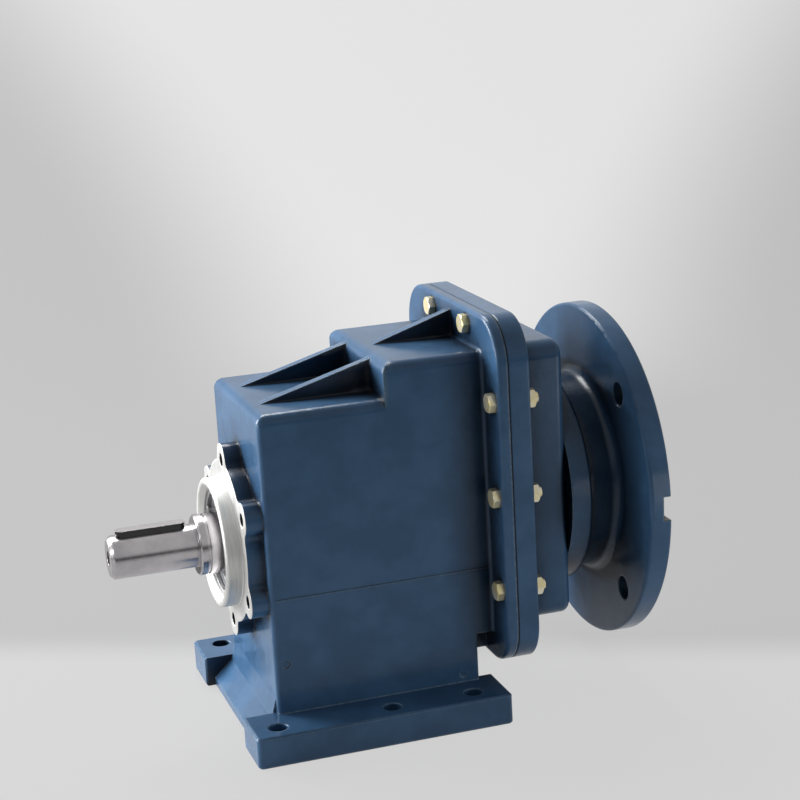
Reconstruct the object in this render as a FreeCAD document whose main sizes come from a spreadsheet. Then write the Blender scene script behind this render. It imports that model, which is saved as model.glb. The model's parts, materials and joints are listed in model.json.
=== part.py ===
import FreeCAD, Part
import Sketcher
import math
import os

doc = FreeCAD.newDocument("HelicalGearbox")
sheet = doc.addObject("Spreadsheet::Sheet", "Sizes")

# Driving sizes in millimetres and degrees. X positions are measured from the centre of
# the foot holes, heights from the base.
sizes = {
    # overlap of forms that become one solid
    "weld": 1.0,
    # feet
    "foot_pitch_x": 115.0,
    "foot_pitch_y": 140.0,
    "foot_middle_x": 9.0,
    "foot_hole": 11.0,
    "rail_front_x": -72.5,
    "rail_rear_x": 77.0,
    "rail_inner": 49.0,
    "rail_outer": 82.5,
    "rail_height": 18.0,
    "rail_round": 3.0,
    "plinth_front": 14.0,
    "plinth_lip": 5.0,
    "plinth_bend": 3.0,
    "plinth_bend_height": 15.0,
    "plinth_height": 26.0,
    # case
    "case_front_x": -53.0,
    "case_width": 107.0,
    "case_wall": 5.0,
    "roof_wall": 6.0,
    "front_wall": 6.0,
    "low_deck": 191.0,
    "high_deck": 211.5,
    "step_x": 20.0,
    "deck_round": 6.0,
    "case_round": 3.0,
    "floor_height": 10.0,
    "rear_floor_height": 50.0,
    "rear_floor_x": 58.0,
    "rear_relief_x": 67.0,
    "rear_relief_height": 32.0,
    "side_relief_height": 46.0,
    "side_relief_inner": 40.0,
    "parting_height": 85.0,
    "parting_proud": 0.4,
    "parting_width": 0.9,
    "mark": 4.4,
    "mark_depth": 0.5,
    "mark_front_x": -46.0,
    "mark_front_height": 47.0,
    "mark_rear_x": 58.0,
    "mark_rear_height": 23.0,
    "rib_spacing": 46.0,
    "rib_width": 6.0,
    "rib_start_x": -44.0,
    "rib_top": 209.0,
    "top_rib_start_x": 30.0,
    "top_rib_top": 227.0,
    # joint flange
    "joint_x": 78.0,
    "joint_width": 154.0,
    "joint_bottom": 29.0,
    "joint_top": 232.0,
    "joint_corner": 26.0,
    "joint_edge_round": 2.0,
    "case_flange": 6.0,
    "gasket": 0.5,
    "cover_flange": 12.5,
    "side_bolt_spread": 136.0,
    "side_bolt_pitch": 55.0,
    "top_bolt_spread": 58.0,
    "bolt_edge": 8.5,
    "dowel": 6.0,
    "dowel_spread": 122.0,
    "dowel_rise": 84.0,
    "dowel_in_case": 4.0,
    "dowel_in_cover": 10.0,
    "dowel_gap": 0.5,
    # bolts
    "bolt": 6.0,
    "bolt_length": 26.0,
    "bolt_hole": 6.6,
    "hex_flats": 10.0,
    "hex_head": 4.0,
    "hex_nut": 5.2,
    "hex_face": 0.96,
    "cap_bolt": 8.0,
    "cap_hole": 9.0,
    "cap_head": 13.0,
    "cap_height": 8.0,
    "cap_socket": 6.0,
    "cap_length": 25.0,
    "thread_gap": 0.05,
    # output face
    "boss_stand": 10.0,
    "boss_radius": 47.0,
    "lobe_circle": 48.0,
    "lobe_radius": 9.5,
    "lobe_fillet": 5.0,
    "lobe_hole": 8.0,
    "lobe_hole_depth": 16.0,
    "spigot_radius": 37.5,
    "spigot_length": 9.5,
    "spigot_chamfer": 1.0,
    "mouth_chamfer": 3.0,
    "tube_radius": 38.0,
    "tube_step": 4.0,
    # output shaft
    "output_axis": 107.0,
    "output_shaft": 25.0,
    "output_length": 50.0,
    "output_chamfer": 2.0,
    "shaft_chamfer": 0.8,
    "ring_land": 3.0,
    "output_centre": 4.25,
    "output_centre_depth": 16.0,
    "output_seat": 35.0,
    "seat_out": 9.5,
    "seat_land": 4.5,
    "seat_groove": 1.5,
    "seat_groove_depth": 1.0,
    "collar": 42.0,
    "gear_seat": 28.0,
    "key_width": 8.0,
    "key_height": 7.0,
    "key_in_shaft": 4.0,
    "key_length": 40.0,
    "key_from_end": 5.0,
    "gear_key_length": 18.0,
    "key_gap": 0.2,
    "gear_hub_wall": 6.0,
    # bearings and seals
    "fit_gap": 0.015,
    "run_gap": 0.05,
    "race_gap": 0.3,
    "seat_race_gap": 0.03,
    "cage_rim": 1.0,
    "big_outer": 62.0,
    "big_width": 14.0,
    "big_ball": 8.0,
    "small_bore": 15.0,
    "small_outer": 35.0,
    "small_width": 11.0,
    "small_ball": 6.0,
    "input_seat": 30.0,
    "input_outer": 55.0,
    "input_width": 13.0,
    "input_ball": 7.1,
    "seal_width": 7.0,
    "seal_gap": 0.7,
    "seal_lip": 1.2,
    "seal_core": 4.0,
    "seal_rim": 3.0,
    "seal_hollow": 1.8,
    "seal_lead": 0.4,
    "spacer_wall": 3.5,
    "clip_depth": 4.0,
    "clip_thick": 2.0,
    "clip_side": 0.1,
    "clip_groove": 1.6,
    "clip_band": 4.5,
    "clip_lug": 3.2,
    "clip_hole": 1.2,
    "clip_ring": 3.0,
    "clip_lug_inset": 1.0,
    "clip_lug_out": 2.6,
    "bearing_spread": 24.0,
    "bearing_boss_wall": 5.0,
    "bearing_lead": 0.5,
    "race_shoulder": 0.3,
    "cage_half": 0.12,
    # gears
    "helix_angle": 12.0,
    "pressure_angle": 20.0,
    "first_module": 1.25,
    "first_pinion_teeth": 15,
    "first_gear_teeth": 51,
    "first_gear_x": 59.0,
    "first_width": 18.0,
    "second_module": 1.75,
    "second_pinion_teeth": 14,
    "second_gear_teeth": 47,
    "second_gear_x": -4.0,
    "second_width": 22.0,
    "pinion_overlap": 2.0,
    "pinion_shift": 0.3,
    "tip_factor": 1.0,
    "root_factor": 1.25,
    "backlash": 0.36,
    "counter_collar": 19.0,
    "counter_body": 20.0,
    "counter_seat": 18.0,
    "counter_key_width": 6.0,
    "counter_key_height": 6.0,
    "counter_key_in_shaft": 3.5,
    "counter_key_length": 14.0,
    "counter_rear_x": 86.0,
    # input cover and motor flange
    "box_width": 114.0,
    "box_bottom": 49.0,
    "box_top": 213.0,
    "box_length": 28.0,
    "box_wall": 6.0,
    "box_corner": 10.0,
    "box_round": 4.0,
    "hub_wall": 6.5,
    "hub_lip": 3.0,
    "hub_lip_radius": 22.0,
    "hub_rear_gap": 2.0,
    "input_front_x": 98.5,
    "input_spread": 6.0,
    "input_collar": 37.0,
    "input_neck": 16.0,
    "input_rear_gap": 5.5,
    "motor_bore": 19.0,
    "motor_bore_depth": 46.0,
    "motor_key_width": 6.0,
    "motor_key_rise": 2.8,
    "neck_ring_radius": 64.0,
    "neck_ring_length": 13.0,
    "neck_radius": 58.0,
    "neck_length": 32.5,
    "neck_fillet": 5.0,
    "neck_inner": 52.0,
    "neck_floor": 10.0,
    "neck_gap": 0.1,
    "neck_ring_round": 2.0,
    "rim_round": 1.5,
    "rim_chamfer": 0.8,
    "motor_flange": 200.0,
    "motor_flange_thick": 12.5,
    "motor_register": 130.0,
    "motor_register_depth": 4.5,
    "motor_circle": 165.0,
    "motor_hole": 14.0,
    "notch_width": 14.0,
    "notch_depth": 10.0,
    "notch_length": 5.0,
    "flange_screw_circle": 88.0,
    "screw_boss": 9.0,
    "screw_boss_length": 10.0,
    "screw_room": 2.0,
    # oil plugs
    "plug": 10.0,
    "plug_head": 16.0,
    "plug_head_height": 4.0,
    "plug_socket": 5.0,
    "plug_washer": 1.5,
    "plug_floor": 0.5,
    "plug_boss": 11.0,
    "plug_boss_length": 3.0,
    "plug_low_x": 40.0,
    "plug_low_height": 30.0,
    "plug_high_x": 46.0,
    "plug_high_height": 165.0,
}

# Sizes that follow from the driving ones.
formulas = {
    "counter_axis": "=output_axis + second_module * (second_pinion_teeth + second_gear_teeth)"
                    " / (2 * cos(helix_angle))",
    "input_axis": "=counter_axis - first_module * (first_pinion_teeth + first_gear_teeth)"
                  " / (2 * cos(helix_angle))",
    "half_case": "=case_width / 2",
    "joint_middle": "=(joint_bottom + joint_top) / 2",
    "joint_rise": "=(joint_top - joint_bottom) / 2",
    "cover_x": "=joint_x + case_flange + gasket",
    "cover_rear_x": "=cover_x + cover_flange",
    "box_rear_x": "=cover_rear_x + box_length",
    "flange_front_x": "=box_rear_x + neck_length",
    "motor_face_x": "=flange_front_x + motor_flange_thick",
    "boss_face_x": "=case_front_x - boss_stand",
    "spigot_face_x": "=boss_face_x - spigot_length",
    "shoulder_x": "=spigot_face_x - seat_out",
    "tip_x": "=shoulder_x - output_length",
    "clip_x": "=spigot_face_x + clip_depth",
    "seal_x": "=clip_x + clip_thick + 3 * clip_side",
    "output_front_x": "=seal_x + seal_width + seal_gap",
    "collar_x": "=output_front_x + big_width",
    "output_rear_x": "=collar_x + bearing_spread",
    "tube_end_x": "=output_rear_x + big_width + seal_gap",
    "second_end_x": "=second_gear_x + second_width",
    "first_end_x": "=first_gear_x + first_width",
    "inner_front_x": "=case_front_x + front_wall",
    "input_rear_x": "=input_front_x + input_width + input_spread",
    "input_clip_x": "=input_rear_x + input_width + clip_side",
    "input_seal_x": "=input_clip_x + clip_thick + 3 * clip_side",
    "input_end_x": "=motor_face_x - input_rear_gap",
    "hub_front_x": "=input_front_x - hub_lip",
    "hub_rear_x": "=input_seal_x + seal_width + hub_rear_gap",
    "shank": "=bolt / 2",
}
for row, (alias, value) in enumerate({**sizes, **formulas}.items(), start=1):
    sheet.set("A%d" % row, alias)
    sheet.set("B%d" % row, str(value))
    sheet.setAlias("B%d" % row, alias)
doc.recompute()


def num(expression):
    return float(sheet.evalExpression(expression))


def size(alias):
    return "Sizes." + alias


def along(x_expr, y_expr, z_expr):
    return {"x": x_expr, "y": y_expr, "z": z_expr}


def place(thing, base, rotation=None):
    if rotation is not None:
        thing.Placement = FreeCAD.Placement(FreeCAD.Vector(), rotation)
    for axis, expression in base.items():
        thing.setExpression("Placement.Base." + axis, expression)
    return thing


def bind(thing, **expressions):
    for prop, expression in expressions.items():
        thing.setExpression(prop, expression)
    return thing


# Turns a primitive's own Z axis along +X.
ALONG_X = FreeCAD.Rotation(FreeCAD.Vector(0, 1, 0), 90)
ALONG_Y = FreeCAD.Rotation(FreeCAD.Vector(1, 0, 0), -90)


def new_body(label, height="0"):
    body = doc.addObject("PartDesign::Body", label)
    return place(body, along("0", "0", height))


def new_sketch(body, name, role, offset="0"):
    sketch = body.newObject("Sketcher::SketchObject", name)
    plane = next(item for item in body.Origin.OriginFeatures if item.Role == role)
    sketch.AttachmentSupport = [(plane, "")]
    sketch.MapMode = "FlatFace"
    sketch.setExpression("AttachmentOffset.Base.z", offset)
    return sketch


def hold(sketch, kind, geometry, point, expression):
    index = sketch.addConstraint(Sketcher.Constraint(kind, -1, 1, geometry, point, num(expression)))
    sketch.setExpression("Constraints[%d]" % index, expression)


def draw_polygon(sketch, corners):
    first = sketch.GeometryCount
    spots = [FreeCAD.Vector(num(a), num(b), 0) for a, b in corners]
    count = len(spots)
    for i in range(count):
        sketch.addGeometry(Part.LineSegment(spots[i], spots[(i + 1) % count]), False)
    for i in range(count):
        following = first + (i + 1) % count
        sketch.addConstraint(Sketcher.Constraint("Coincident", first + i, 2, following, 1))
    for i, (a, b) in enumerate(corners):
        hold(sketch, "DistanceX", first + i, 1, a)
        hold(sketch, "DistanceY", first + i, 1, b)


def draw_circle(sketch, a, b, radius):
    centre = FreeCAD.Vector(num(a), num(b), 0)
    circle = Part.Circle(centre, FreeCAD.Vector(0, 0, 1), num(radius))
    geometry = sketch.addGeometry(circle, False)
    hold(sketch, "DistanceX", geometry, 3, a)
    hold(sketch, "DistanceY", geometry, 3, b)
    index = sketch.addConstraint(Sketcher.Constraint("Radius", geometry, num(radius)))
    sketch.setExpression("Constraints[%d]" % index, radius)


def rectangle(a0, b0, a1, b1):
    return [(a0, b0), (a1, b0), (a1, b1), (a0, b1)]


def extrude(kind, body, sketch, length, forward=True, symmetric=False):
    feature = body.newObject(kind, sketch.Name + "Form")
    feature.Profile = sketch
    feature.setExpression("Length", length)
    if symmetric:
        feature.SideType = "Symmetric"
    elif kind == "PartDesign::Pad":
        feature.Reversed = not forward
    else:
        feature.Reversed = forward
    doc.recompute()
    return feature


def pad(body, sketch, length, symmetric=False):
    return extrude("PartDesign::Pad", body, sketch, length, True, symmetric)


def pocket(body, sketch, length):
    before = body.Shape.Volume
    feature = extrude("PartDesign::Pocket", body, sketch, length)
    if not body.Shape.Volume < before:
        raise ValueError(sketch.Name + " removed nothing")
    return feature


def pad_polygon(body, name, x_expr, corners, length):
    sketch = new_sketch(body, name, "YZ_Plane", x_expr)
    draw_polygon(sketch, corners)
    return pad(body, sketch, length)


def pocket_polygon(body, name, x_expr, corners, length):
    sketch = new_sketch(body, name, "YZ_Plane", x_expr)
    draw_polygon(sketch, corners)
    return pocket(body, sketch, length)


def pad_circles(body, name, x_expr, circles, length):
    sketch = new_sketch(body, name, "YZ_Plane", x_expr)
    for circle in circles:
        draw_circle(sketch, *circle)
    return pad(body, sketch, length)


def pocket_circles(body, name, x_expr, circles, length):
    sketch = new_sketch(body, name, "YZ_Plane", x_expr)
    for circle in circles:
        draw_circle(sketch, *circle)
    return pocket(body, sketch, length)


def edge_names(shape, wanted):
    return ["Edge%d" % (i + 1) for i, edge in enumerate(shape.Edges) if wanted(edge)]


def dress(kind, body, name, wanted, **expressions):
    tip = body.Tip
    names = edge_names(tip.Shape, wanted)
    if not names:
        raise ValueError(name + " found no edges")
    feature = body.newObject(kind, name)
    feature.Base = (tip, names)
    bind(feature, **expressions)
    doc.recompute()
    if not feature.isValid() or feature.Shape.isNull():
        raise ValueError(name + " could not be made")
    return feature


def fillet(body, name, wanted, radius):
    return dress("PartDesign::Fillet", body, name, wanted, Radius=radius)


def chamfer(body, name, wanted, width):
    return dress("PartDesign::Chamfer", body, name, wanted, Size=width)


def near(a, b, slack=0.01):
    return abs(a - b) < slack


def spans(edge):
    box = edge.BoundBox
    return box.XLength, box.YLength, box.ZLength


def is_along(edge, axis):
    lengths = spans(edge)
    return lengths[axis] > 0.1 and all(lengths[k] < 0.01 for k in range(3) if k != axis)


def turned(label, height, profile):
    body = new_body(label, height)
    sketch = new_sketch(body, label + "Profile", "XZ_Plane")
    draw_polygon(sketch, profile)
    turn = body.newObject("PartDesign::Revolution", label + "Turned")
    turn.Profile = sketch
    turn.ReferenceAxis = (sketch, ["H_Axis"])
    turn.Angle = 360
    doc.recompute()
    return body


def groove_circle(body, name, x_expr, radial, radius):
    sketch = new_sketch(body, name, "XZ_Plane")
    draw_circle(sketch, x_expr, radial, radius)
    cut = body.newObject("PartDesign::Groove", name + "Cut")
    cut.Profile = sketch
    cut.ReferenceAxis = (sketch, ["H_Axis"])
    cut.Angle = 360
    doc.recompute()


def stepped(*steps):
    """Profile of a solid turned piece from (x, radius) pairs, both ends on the axis."""
    return [(steps[0][0], "0")] + list(steps) + [(steps[-1][0], "0")]


def tube(x0, x1, inner, outer):
    return rectangle(x0, inner, x1, outer)


def cylinder(name, radius, height, base, rotation=ALONG_X, angle=360):
    thing = doc.addObject("Part::Cylinder", name)
    bind(thing, Radius=radius, Height=height)
    thing.Angle = angle
    return place(thing, base, rotation)


def block(name, length, width, height, base):
    thing = doc.addObject("Part::Box", name)
    bind(thing, Length=length, Width=width, Height=height)
    return place(thing, base)


def joined(name, items):
    thing = doc.addObject("Part::MultiFuse", name)
    thing.Shapes = items
    doc.recompute()
    return thing


def cut(name, base, tool):
    thing = doc.addObject("Part::Cut", name)
    thing.Base = base
    thing.Tool = tool
    doc.recompute()
    return thing


def grouped(label, items):
    thing = doc.addObject("Part::Compound", label)
    thing.Links = items
    doc.recompute()
    return thing


def polar(radius, degrees):
    return "%s * cos(%g)" % (radius, degrees), "%s * sin(%g)" % (radius, degrees)


finished = []


def finish(thing, label):
    thing.Label = label
    finished.append(thing)
    return thing


half_case = size("half_case")
out_axis = size("output_axis")
mid_axis = size("counter_axis")
in_axis = size("input_axis")

side_bolts = []
for side in (-1, 1):
    for step in (-1, 0, 1):
        side_bolts.append(("%d * Sizes.side_bolt_spread / 2" % side,
                           "Sizes.joint_middle + %d * Sizes.side_bolt_pitch" % step))
top_bolts = [("%d * Sizes.top_bolt_spread / 2" % side, "Sizes.joint_top - Sizes.bolt_edge")
             for side in (-1, 1)]
low_bolts = [("%d * Sizes.top_bolt_spread / 2" % side, "Sizes.joint_bottom + Sizes.bolt_edge")
             for side in (-1, 1)]
through_bolts = side_bolts + top_bolts
dowels = [("Sizes.dowel_spread / 2", "Sizes.joint_middle + Sizes.dowel_rise"),
          ("-Sizes.dowel_spread / 2", "Sizes.joint_middle - Sizes.dowel_rise")]
lobes = []
for turn in range(6):
    across, up = polar(size("lobe_circle"), 30 + 60 * turn)
    lobes.append((across, "%s + %s" % (out_axis, up)))
flange_screws = []
for turn in range(4):
    across, up = polar("Sizes.flange_screw_circle / 2", 45 + 90 * turn)
    flange_screws.append((across, "%s + %s" % (in_axis, up)))


def flange_plate(body, name, x_expr, thickness):
    half = "Sizes.joint_width / 2"
    corners = rectangle("-" + half, size("joint_bottom"), half, size("joint_top"))
    sketch = new_sketch(body, name, "YZ_Plane", x_expr)
    draw_polygon(sketch, corners)
    pad(body, sketch, thickness)
    x0 = num(x_expr)
    reach = num(half)

    def at_corner(edge):
        middle = edge.CenterOfMass
        outer = near(abs(middle.y), reach)
        end = near(middle.z, num(size("joint_bottom"))) or near(middle.z, num(size("joint_top")))
        return is_along(edge, 0) and outer and end and middle.x > x0

    fillet(body, name + "Corners", at_corner, size("joint_corner"))


# Gear case: body with the stepped deck.
case = new_body("gear_case")
front_x = size("case_front_x")
case_length = "Sizes.joint_x - Sizes.case_front_x"
pad_polygon(case, "CaseBody", front_x,
            rectangle("-" + half_case, "0", half_case, size("low_deck")), case_length)


def upright_corner(edge):
    middle = edge.CenterOfMass
    at_side = near(abs(middle.y), num(half_case))
    return is_along(edge, 2) and at_side and near(middle.x, num(front_x))


def deck_edge(height):
    def wanted(edge):
        middle = edge.CenterOfMass
        flat = spans(edge)[2] < 0.01
        return flat and near(middle.z, num(height)) and middle.x < num(size("joint_x")) - 0.1
    return wanted


fillet(case, "UprightRound", upright_corner, size("case_round"))
fillet(case, "LowDeckRound", deck_edge(size("low_deck")), size("deck_round"))
pad_polygon(case, "HighDeck", size("step_x"),
            rectangle("-" + half_case, size("rear_floor_height"), half_case, size("high_deck")),
            "Sizes.joint_x - Sizes.step_x")
fillet(case, "HighDeckRound", deck_edge(size("high_deck")), size("deck_round"))

# Lower rear corner steps back ahead of the joint flange.
pocket_polygon(case, "RearRelief", size("rear_relief_x"),
               rectangle("-%s - Sizes.weld" % half_case, "-Sizes.weld", half_case + " + Sizes.weld",
                         size("rear_relief_height")),
               "Sizes.joint_x - Sizes.rear_relief_x + Sizes.weld")
for side, tag in (("-", "Near"), ("", "Far")):
    pocket_polygon(case, "SideRelief" + tag, size("rear_relief_x"),
                   rectangle(side + size("side_relief_inner"), size("rear_relief_height") + " - Sizes.weld",
                             "%s(%s + Sizes.weld)" % (side, half_case), size("side_relief_height")),
                   "Sizes.joint_x - Sizes.rear_relief_x + Sizes.weld")

# Foot rails and the flared plinth between them.
rails = new_sketch(case, "Rails", "XY_Plane")
for side in ("-", ""):
    draw_polygon(rails, rectangle(size("rail_front_x"), side + size("rail_inner"),
                                  size("rail_rear_x"), side + size("rail_outer")))
pad(case, rails, size("rail_height"))


def rail_corner(edge):
    middle = edge.CenterOfMass
    outer = near(abs(middle.y), num(size("rail_outer")))
    return is_along(edge, 2) and outer and middle.z < num(size("rail_height"))


fillet(case, "RailRound", rail_corner, size("rail_round"))
plinth = new_sketch(case, "Plinth", "XZ_Plane")
plinth_x = "%s - Sizes.plinth_front" % front_x
inside_front = front_x + " + Sizes.weld"
draw_polygon(plinth, [(inside_front, "0"), (plinth_x, "0"), (plinth_x, size("plinth_lip")),
                      (front_x + " - Sizes.plinth_bend", size("plinth_bend_height")),
                      (front_x, size("plinth_height")), (inside_front, size("plinth_height"))])
pad(case, plinth, "2 * Sizes.rail_inner", symmetric=True)

# Triangular ribs: a pair on the low deck and one on the high deck.
for side, tag in ((-1, "Near"), (1, "Far")):
    middle = "%d * Sizes.rib_spacing / 2" % side
    sketch = new_sketch(case, "Rib" + tag, "XZ_Plane", "-(%s)" % middle)
    draw_polygon(sketch, [(size("rib_start_x"), size("low_deck")),
                          (size("step_x") + " + Sizes.weld", size("rib_top")),
                          (size("step_x") + " + Sizes.weld", size("low_deck") + " - Sizes.weld"),
                          (size("rib_start_x"), size("low_deck") + " - Sizes.weld")])
    pad(case, sketch, size("rib_width"), symmetric=True)
top_rib = new_sketch(case, "TopRib", "XZ_Plane")
draw_polygon(top_rib, [(size("top_rib_start_x"), size("high_deck")),
                       (size("joint_x") + " + Sizes.weld", size("top_rib_top")),
                       (size("joint_x") + " + Sizes.weld", size("high_deck") + " - Sizes.weld"),
                       (size("top_rib_start_x"), size("high_deck") + " - Sizes.weld")])
pad(case, top_rib, size("rib_width"), symmetric=True)

# Casting parting lines on both sides.
for side, tag in (("-", "Near"), ("", "Far")):
    pad_polygon(case, "Parting" + tag, front_x + " + Sizes.case_round",
                rectangle(side + "(%s - Sizes.weld)" % half_case,
                          "Sizes.parting_height - Sizes.parting_width / 2",
                          side + "(%s + Sizes.parting_proud)" % half_case,
                          "Sizes.parting_height + Sizes.parting_width / 2"),
                "%s - Sizes.case_round" % case_length)

flange_plate(case, "JointFlange", size("joint_x"), size("case_flange"))


def flange_front_edge(edge):
    box = edge.BoundBox
    middle = edge.CenterOfMass
    on_front = near(box.XMin, num(size("joint_x"))) and box.XLength < 0.01
    outer = abs(middle.y) > num("Sizes.joint_width / 2") - num(size("joint_corner"))
    return on_front and (outer or near(middle.z, num(size("joint_top")))
                         or near(middle.z, num(size("joint_bottom"))))


fillet(case, "JointEdge", flange_front_edge, size("joint_edge_round"))

# Output face: scalloped pad and spigot.
boss_depth = "Sizes.boss_stand + Sizes.weld"
pad_circles(case, "Boss", size("boss_face_x"), [("0", out_axis, size("boss_radius"))], boss_depth)
pad_circles(case, "Lobes", size("boss_face_x"),
            [(across, up, size("lobe_radius")) for across, up in lobes], boss_depth)


def lobe_root(edge):
    middle = edge.CenterOfMass
    radial = math.hypot(middle.y, middle.z - num(out_axis))
    return (is_along(edge, 0) and near(radial, num(size("boss_radius")))
            and middle.x < num(front_x) and edge.BoundBox.XMin < num(size("boss_face_x")) + 0.01)


fillet(case, "LobeRoots", lobe_root, size("lobe_fillet"))
pad_circles(case, "Spigot", size("spigot_face_x"), [("0", out_axis, size("spigot_radius"))],
            size("spigot_length"))
chamfer(case, "SpigotEdge", lambda edge: near(edge.BoundBox.XMax, num(size("spigot_face_x"))),
        size("spigot_chamfer"))

# Oil space, open to the rear.
inner_half = "(%s - Sizes.case_wall)" % half_case
inner_x = size("inner_front_x")
pocket_polygon(case, "OilLow", inner_x,
               rectangle("-" + inner_half, size("floor_height"), inner_half,
                         size("low_deck") + " - Sizes.roof_wall"),
               "Sizes.rear_floor_x - Sizes.inner_front_x")
pocket_polygon(case, "OilHigh", "Sizes.step_x + Sizes.roof_wall",
               rectangle("-" + inner_half, size("rear_floor_height"), inner_half,
                         size("high_deck") + " - Sizes.roof_wall"),
               "Sizes.joint_x + Sizes.case_flange - Sizes.step_x - Sizes.roof_wall")

# Bearing tube of the output shaft and front bearing boss of the countershaft.
boss_radius_small = "(Sizes.small_outer / 2 + Sizes.bearing_boss_wall)"
small_pocket = "Sizes.small_outer / 2 + Sizes.fit_gap"
big_bore = "Sizes.big_outer / 2 + Sizes.fit_gap"
pad_circles(case, "OutputTube", inner_x + " - Sizes.weld", [("0", out_axis, size("tube_radius"))],
            "Sizes.tube_end_x - Sizes.inner_front_x + Sizes.weld")
pad_circles(case, "CounterBoss", inner_x + " - Sizes.weld", [("0", mid_axis, boss_radius_small)],
            "Sizes.small_width + 2 * Sizes.weld")
pocket_circles(case, "CounterSeat", inner_x, [("0", mid_axis, small_pocket)],
               "Sizes.small_width + 2 * Sizes.weld")
pocket_circles(case, "FrontBore", size("spigot_face_x"), [("0", out_axis, big_bore)],
               "Sizes.collar_x - Sizes.spigot_face_x")


def bore_mouth(edge):
    box = edge.BoundBox
    return near(box.XMax, num(size("spigot_face_x"))) and near(box.YMax, num(big_bore))


chamfer(case, "BoreMouth", bore_mouth, size("mouth_chamfer"))
pocket_circles(case, "TubeBore", size("collar_x"), [("0", out_axis, "Sizes.big_outer / 2 - Sizes.tube_step")],
               "Sizes.bearing_spread")
pocket_circles(case, "RearBore", size("output_rear_x"), [("0", out_axis, big_bore)],
               "Sizes.tube_end_x - Sizes.output_rear_x + Sizes.weld")
pocket_circles(case, "ClipGroove", size("clip_x") + " - Sizes.clip_side",
               [("0", out_axis, "Sizes.big_outer / 2 + Sizes.clip_groove")],
               "Sizes.clip_thick + 2 * Sizes.clip_side")

# Oil plug bosses on the far side.
plug_spots = [(size("plug_low_x"), size("plug_low_height")),
              (size("plug_high_x"), size("plug_high_height"))]
plug_sketch = new_sketch(case, "PlugBosses", "XZ_Plane", "-(%s + Sizes.plug_boss_length)" % half_case)
for spot in plug_spots:
    draw_circle(plug_sketch, *spot, size("plug_boss"))
pad(case, plug_sketch, "Sizes.plug_boss_length + Sizes.weld")

# Holes: plugs, feet, joint bolts, dowels and the tapped holes of the output face.
plug_holes = new_sketch(case, "PlugHoles", "XZ_Plane", "-(%s + Sizes.plug_boss_length)" % half_case)
for spot in plug_spots:
    draw_circle(plug_holes, *spot, "Sizes.plug / 2 + Sizes.thread_gap")
pocket(case, plug_holes, "Sizes.plug_boss_length + Sizes.case_wall + Sizes.weld")
feet = new_sketch(case, "FootHoles", "XY_Plane")
for x_expr in ("-Sizes.foot_pitch_x / 2", size("foot_middle_x"), "Sizes.foot_pitch_x / 2"):
    for side in ("-", ""):
        draw_circle(feet, x_expr, side + "Sizes.foot_pitch_y / 2", "Sizes.foot_hole / 2")
pocket(case, feet, size("rail_height"))
pocket_circles(case, "JointHoles", size("joint_x"),
               [(a, b, "Sizes.bolt_hole / 2") for a, b in through_bolts], size("case_flange"))
screw_depth = "Sizes.bolt_length - Sizes.cover_flange - Sizes.gasket + Sizes.screw_room"
pocket_circles(case, "LowScrewHoles", "Sizes.joint_x + Sizes.case_flange - (%s)" % screw_depth,
               [(a, b, "Sizes.shank + Sizes.thread_gap") for a, b in low_bolts], screw_depth)
pocket_circles(case, "DowelHoles", "Sizes.joint_x + Sizes.case_flange - Sizes.dowel_in_case",
               [(a, b, "Sizes.dowel / 2 + Sizes.fit_gap") for a, b in dowels],
               size("dowel_in_case"))
pocket_circles(case, "LobeHoles", size("boss_face_x"),
               [(a, b, "Sizes.lobe_hole / 2") for a, b in lobes], size("lobe_hole_depth"))
marks = new_sketch(case, "CastingMarks", "XZ_Plane", half_case)
draw_circle(marks, size("mark_front_x"), size("mark_front_height"), "Sizes.mark / 2")
draw_circle(marks, size("mark_rear_x"), size("mark_rear_height"), "Sizes.mark / 2")
extrude("PartDesign::Pocket", case, marks, size("mark_depth"), forward=False)
finish(case, "gear_case")

# Gasket of the joint.
seal_plate = new_body("joint_gasket")
flange_plate(seal_plate, "GasketPlate", "Sizes.joint_x + Sizes.case_flange", size("gasket"))
pocket_polygon(seal_plate, "GasketWindow", "Sizes.joint_x + Sizes.case_flange",
               rectangle("-" + inner_half, size("box_bottom") + " + Sizes.box_wall", inner_half,
                         size("box_top") + " - Sizes.box_wall"), size("gasket"))
pocket_circles(seal_plate, "GasketHoles", "Sizes.joint_x + Sizes.case_flange",
               [(a, b, "Sizes.bolt_hole / 2") for a, b in through_bolts + low_bolts + dowels],
               size("gasket"))
finish(seal_plate, "joint_gasket")

# Input cover: flange, box, inner bosses and the bearing hub.
cover = new_body("input_cover")
cover_x = size("cover_x")
flange_plate(cover, "CoverFlange", cover_x, size("cover_flange"))
half_box = "(Sizes.box_width / 2)"
pad_polygon(cover, "CoverBox", size("cover_rear_x") + " - Sizes.weld",
            rectangle("-" + half_box, size("box_bottom"), half_box, size("box_top")),
            "Sizes.box_length + Sizes.weld")


def box_corner(edge):
    middle = edge.CenterOfMass
    at_end = near(middle.z, num(size("box_bottom"))) or near(middle.z, num(size("box_top")))
    return is_along(edge, 0) and near(abs(middle.y), num(half_box)) and at_end


def box_rear_edge(edge):
    return near(edge.BoundBox.XMin, num(size("box_rear_x")))


def cover_edge(edge):
    box = edge.BoundBox
    flat = box.XLength < 0.01
    middle = edge.CenterOfMass
    at_face = near(box.XMin, num(size("cover_rear_x"))) or near(box.XMin, num(cover_x))
    wide = abs(middle.y) > num(half_box) + 1
    tall = middle.z > num(size("box_top")) + 1 or middle.z < num(size("box_bottom")) - 1
    return flat and at_face and (wide or tall)


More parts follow.
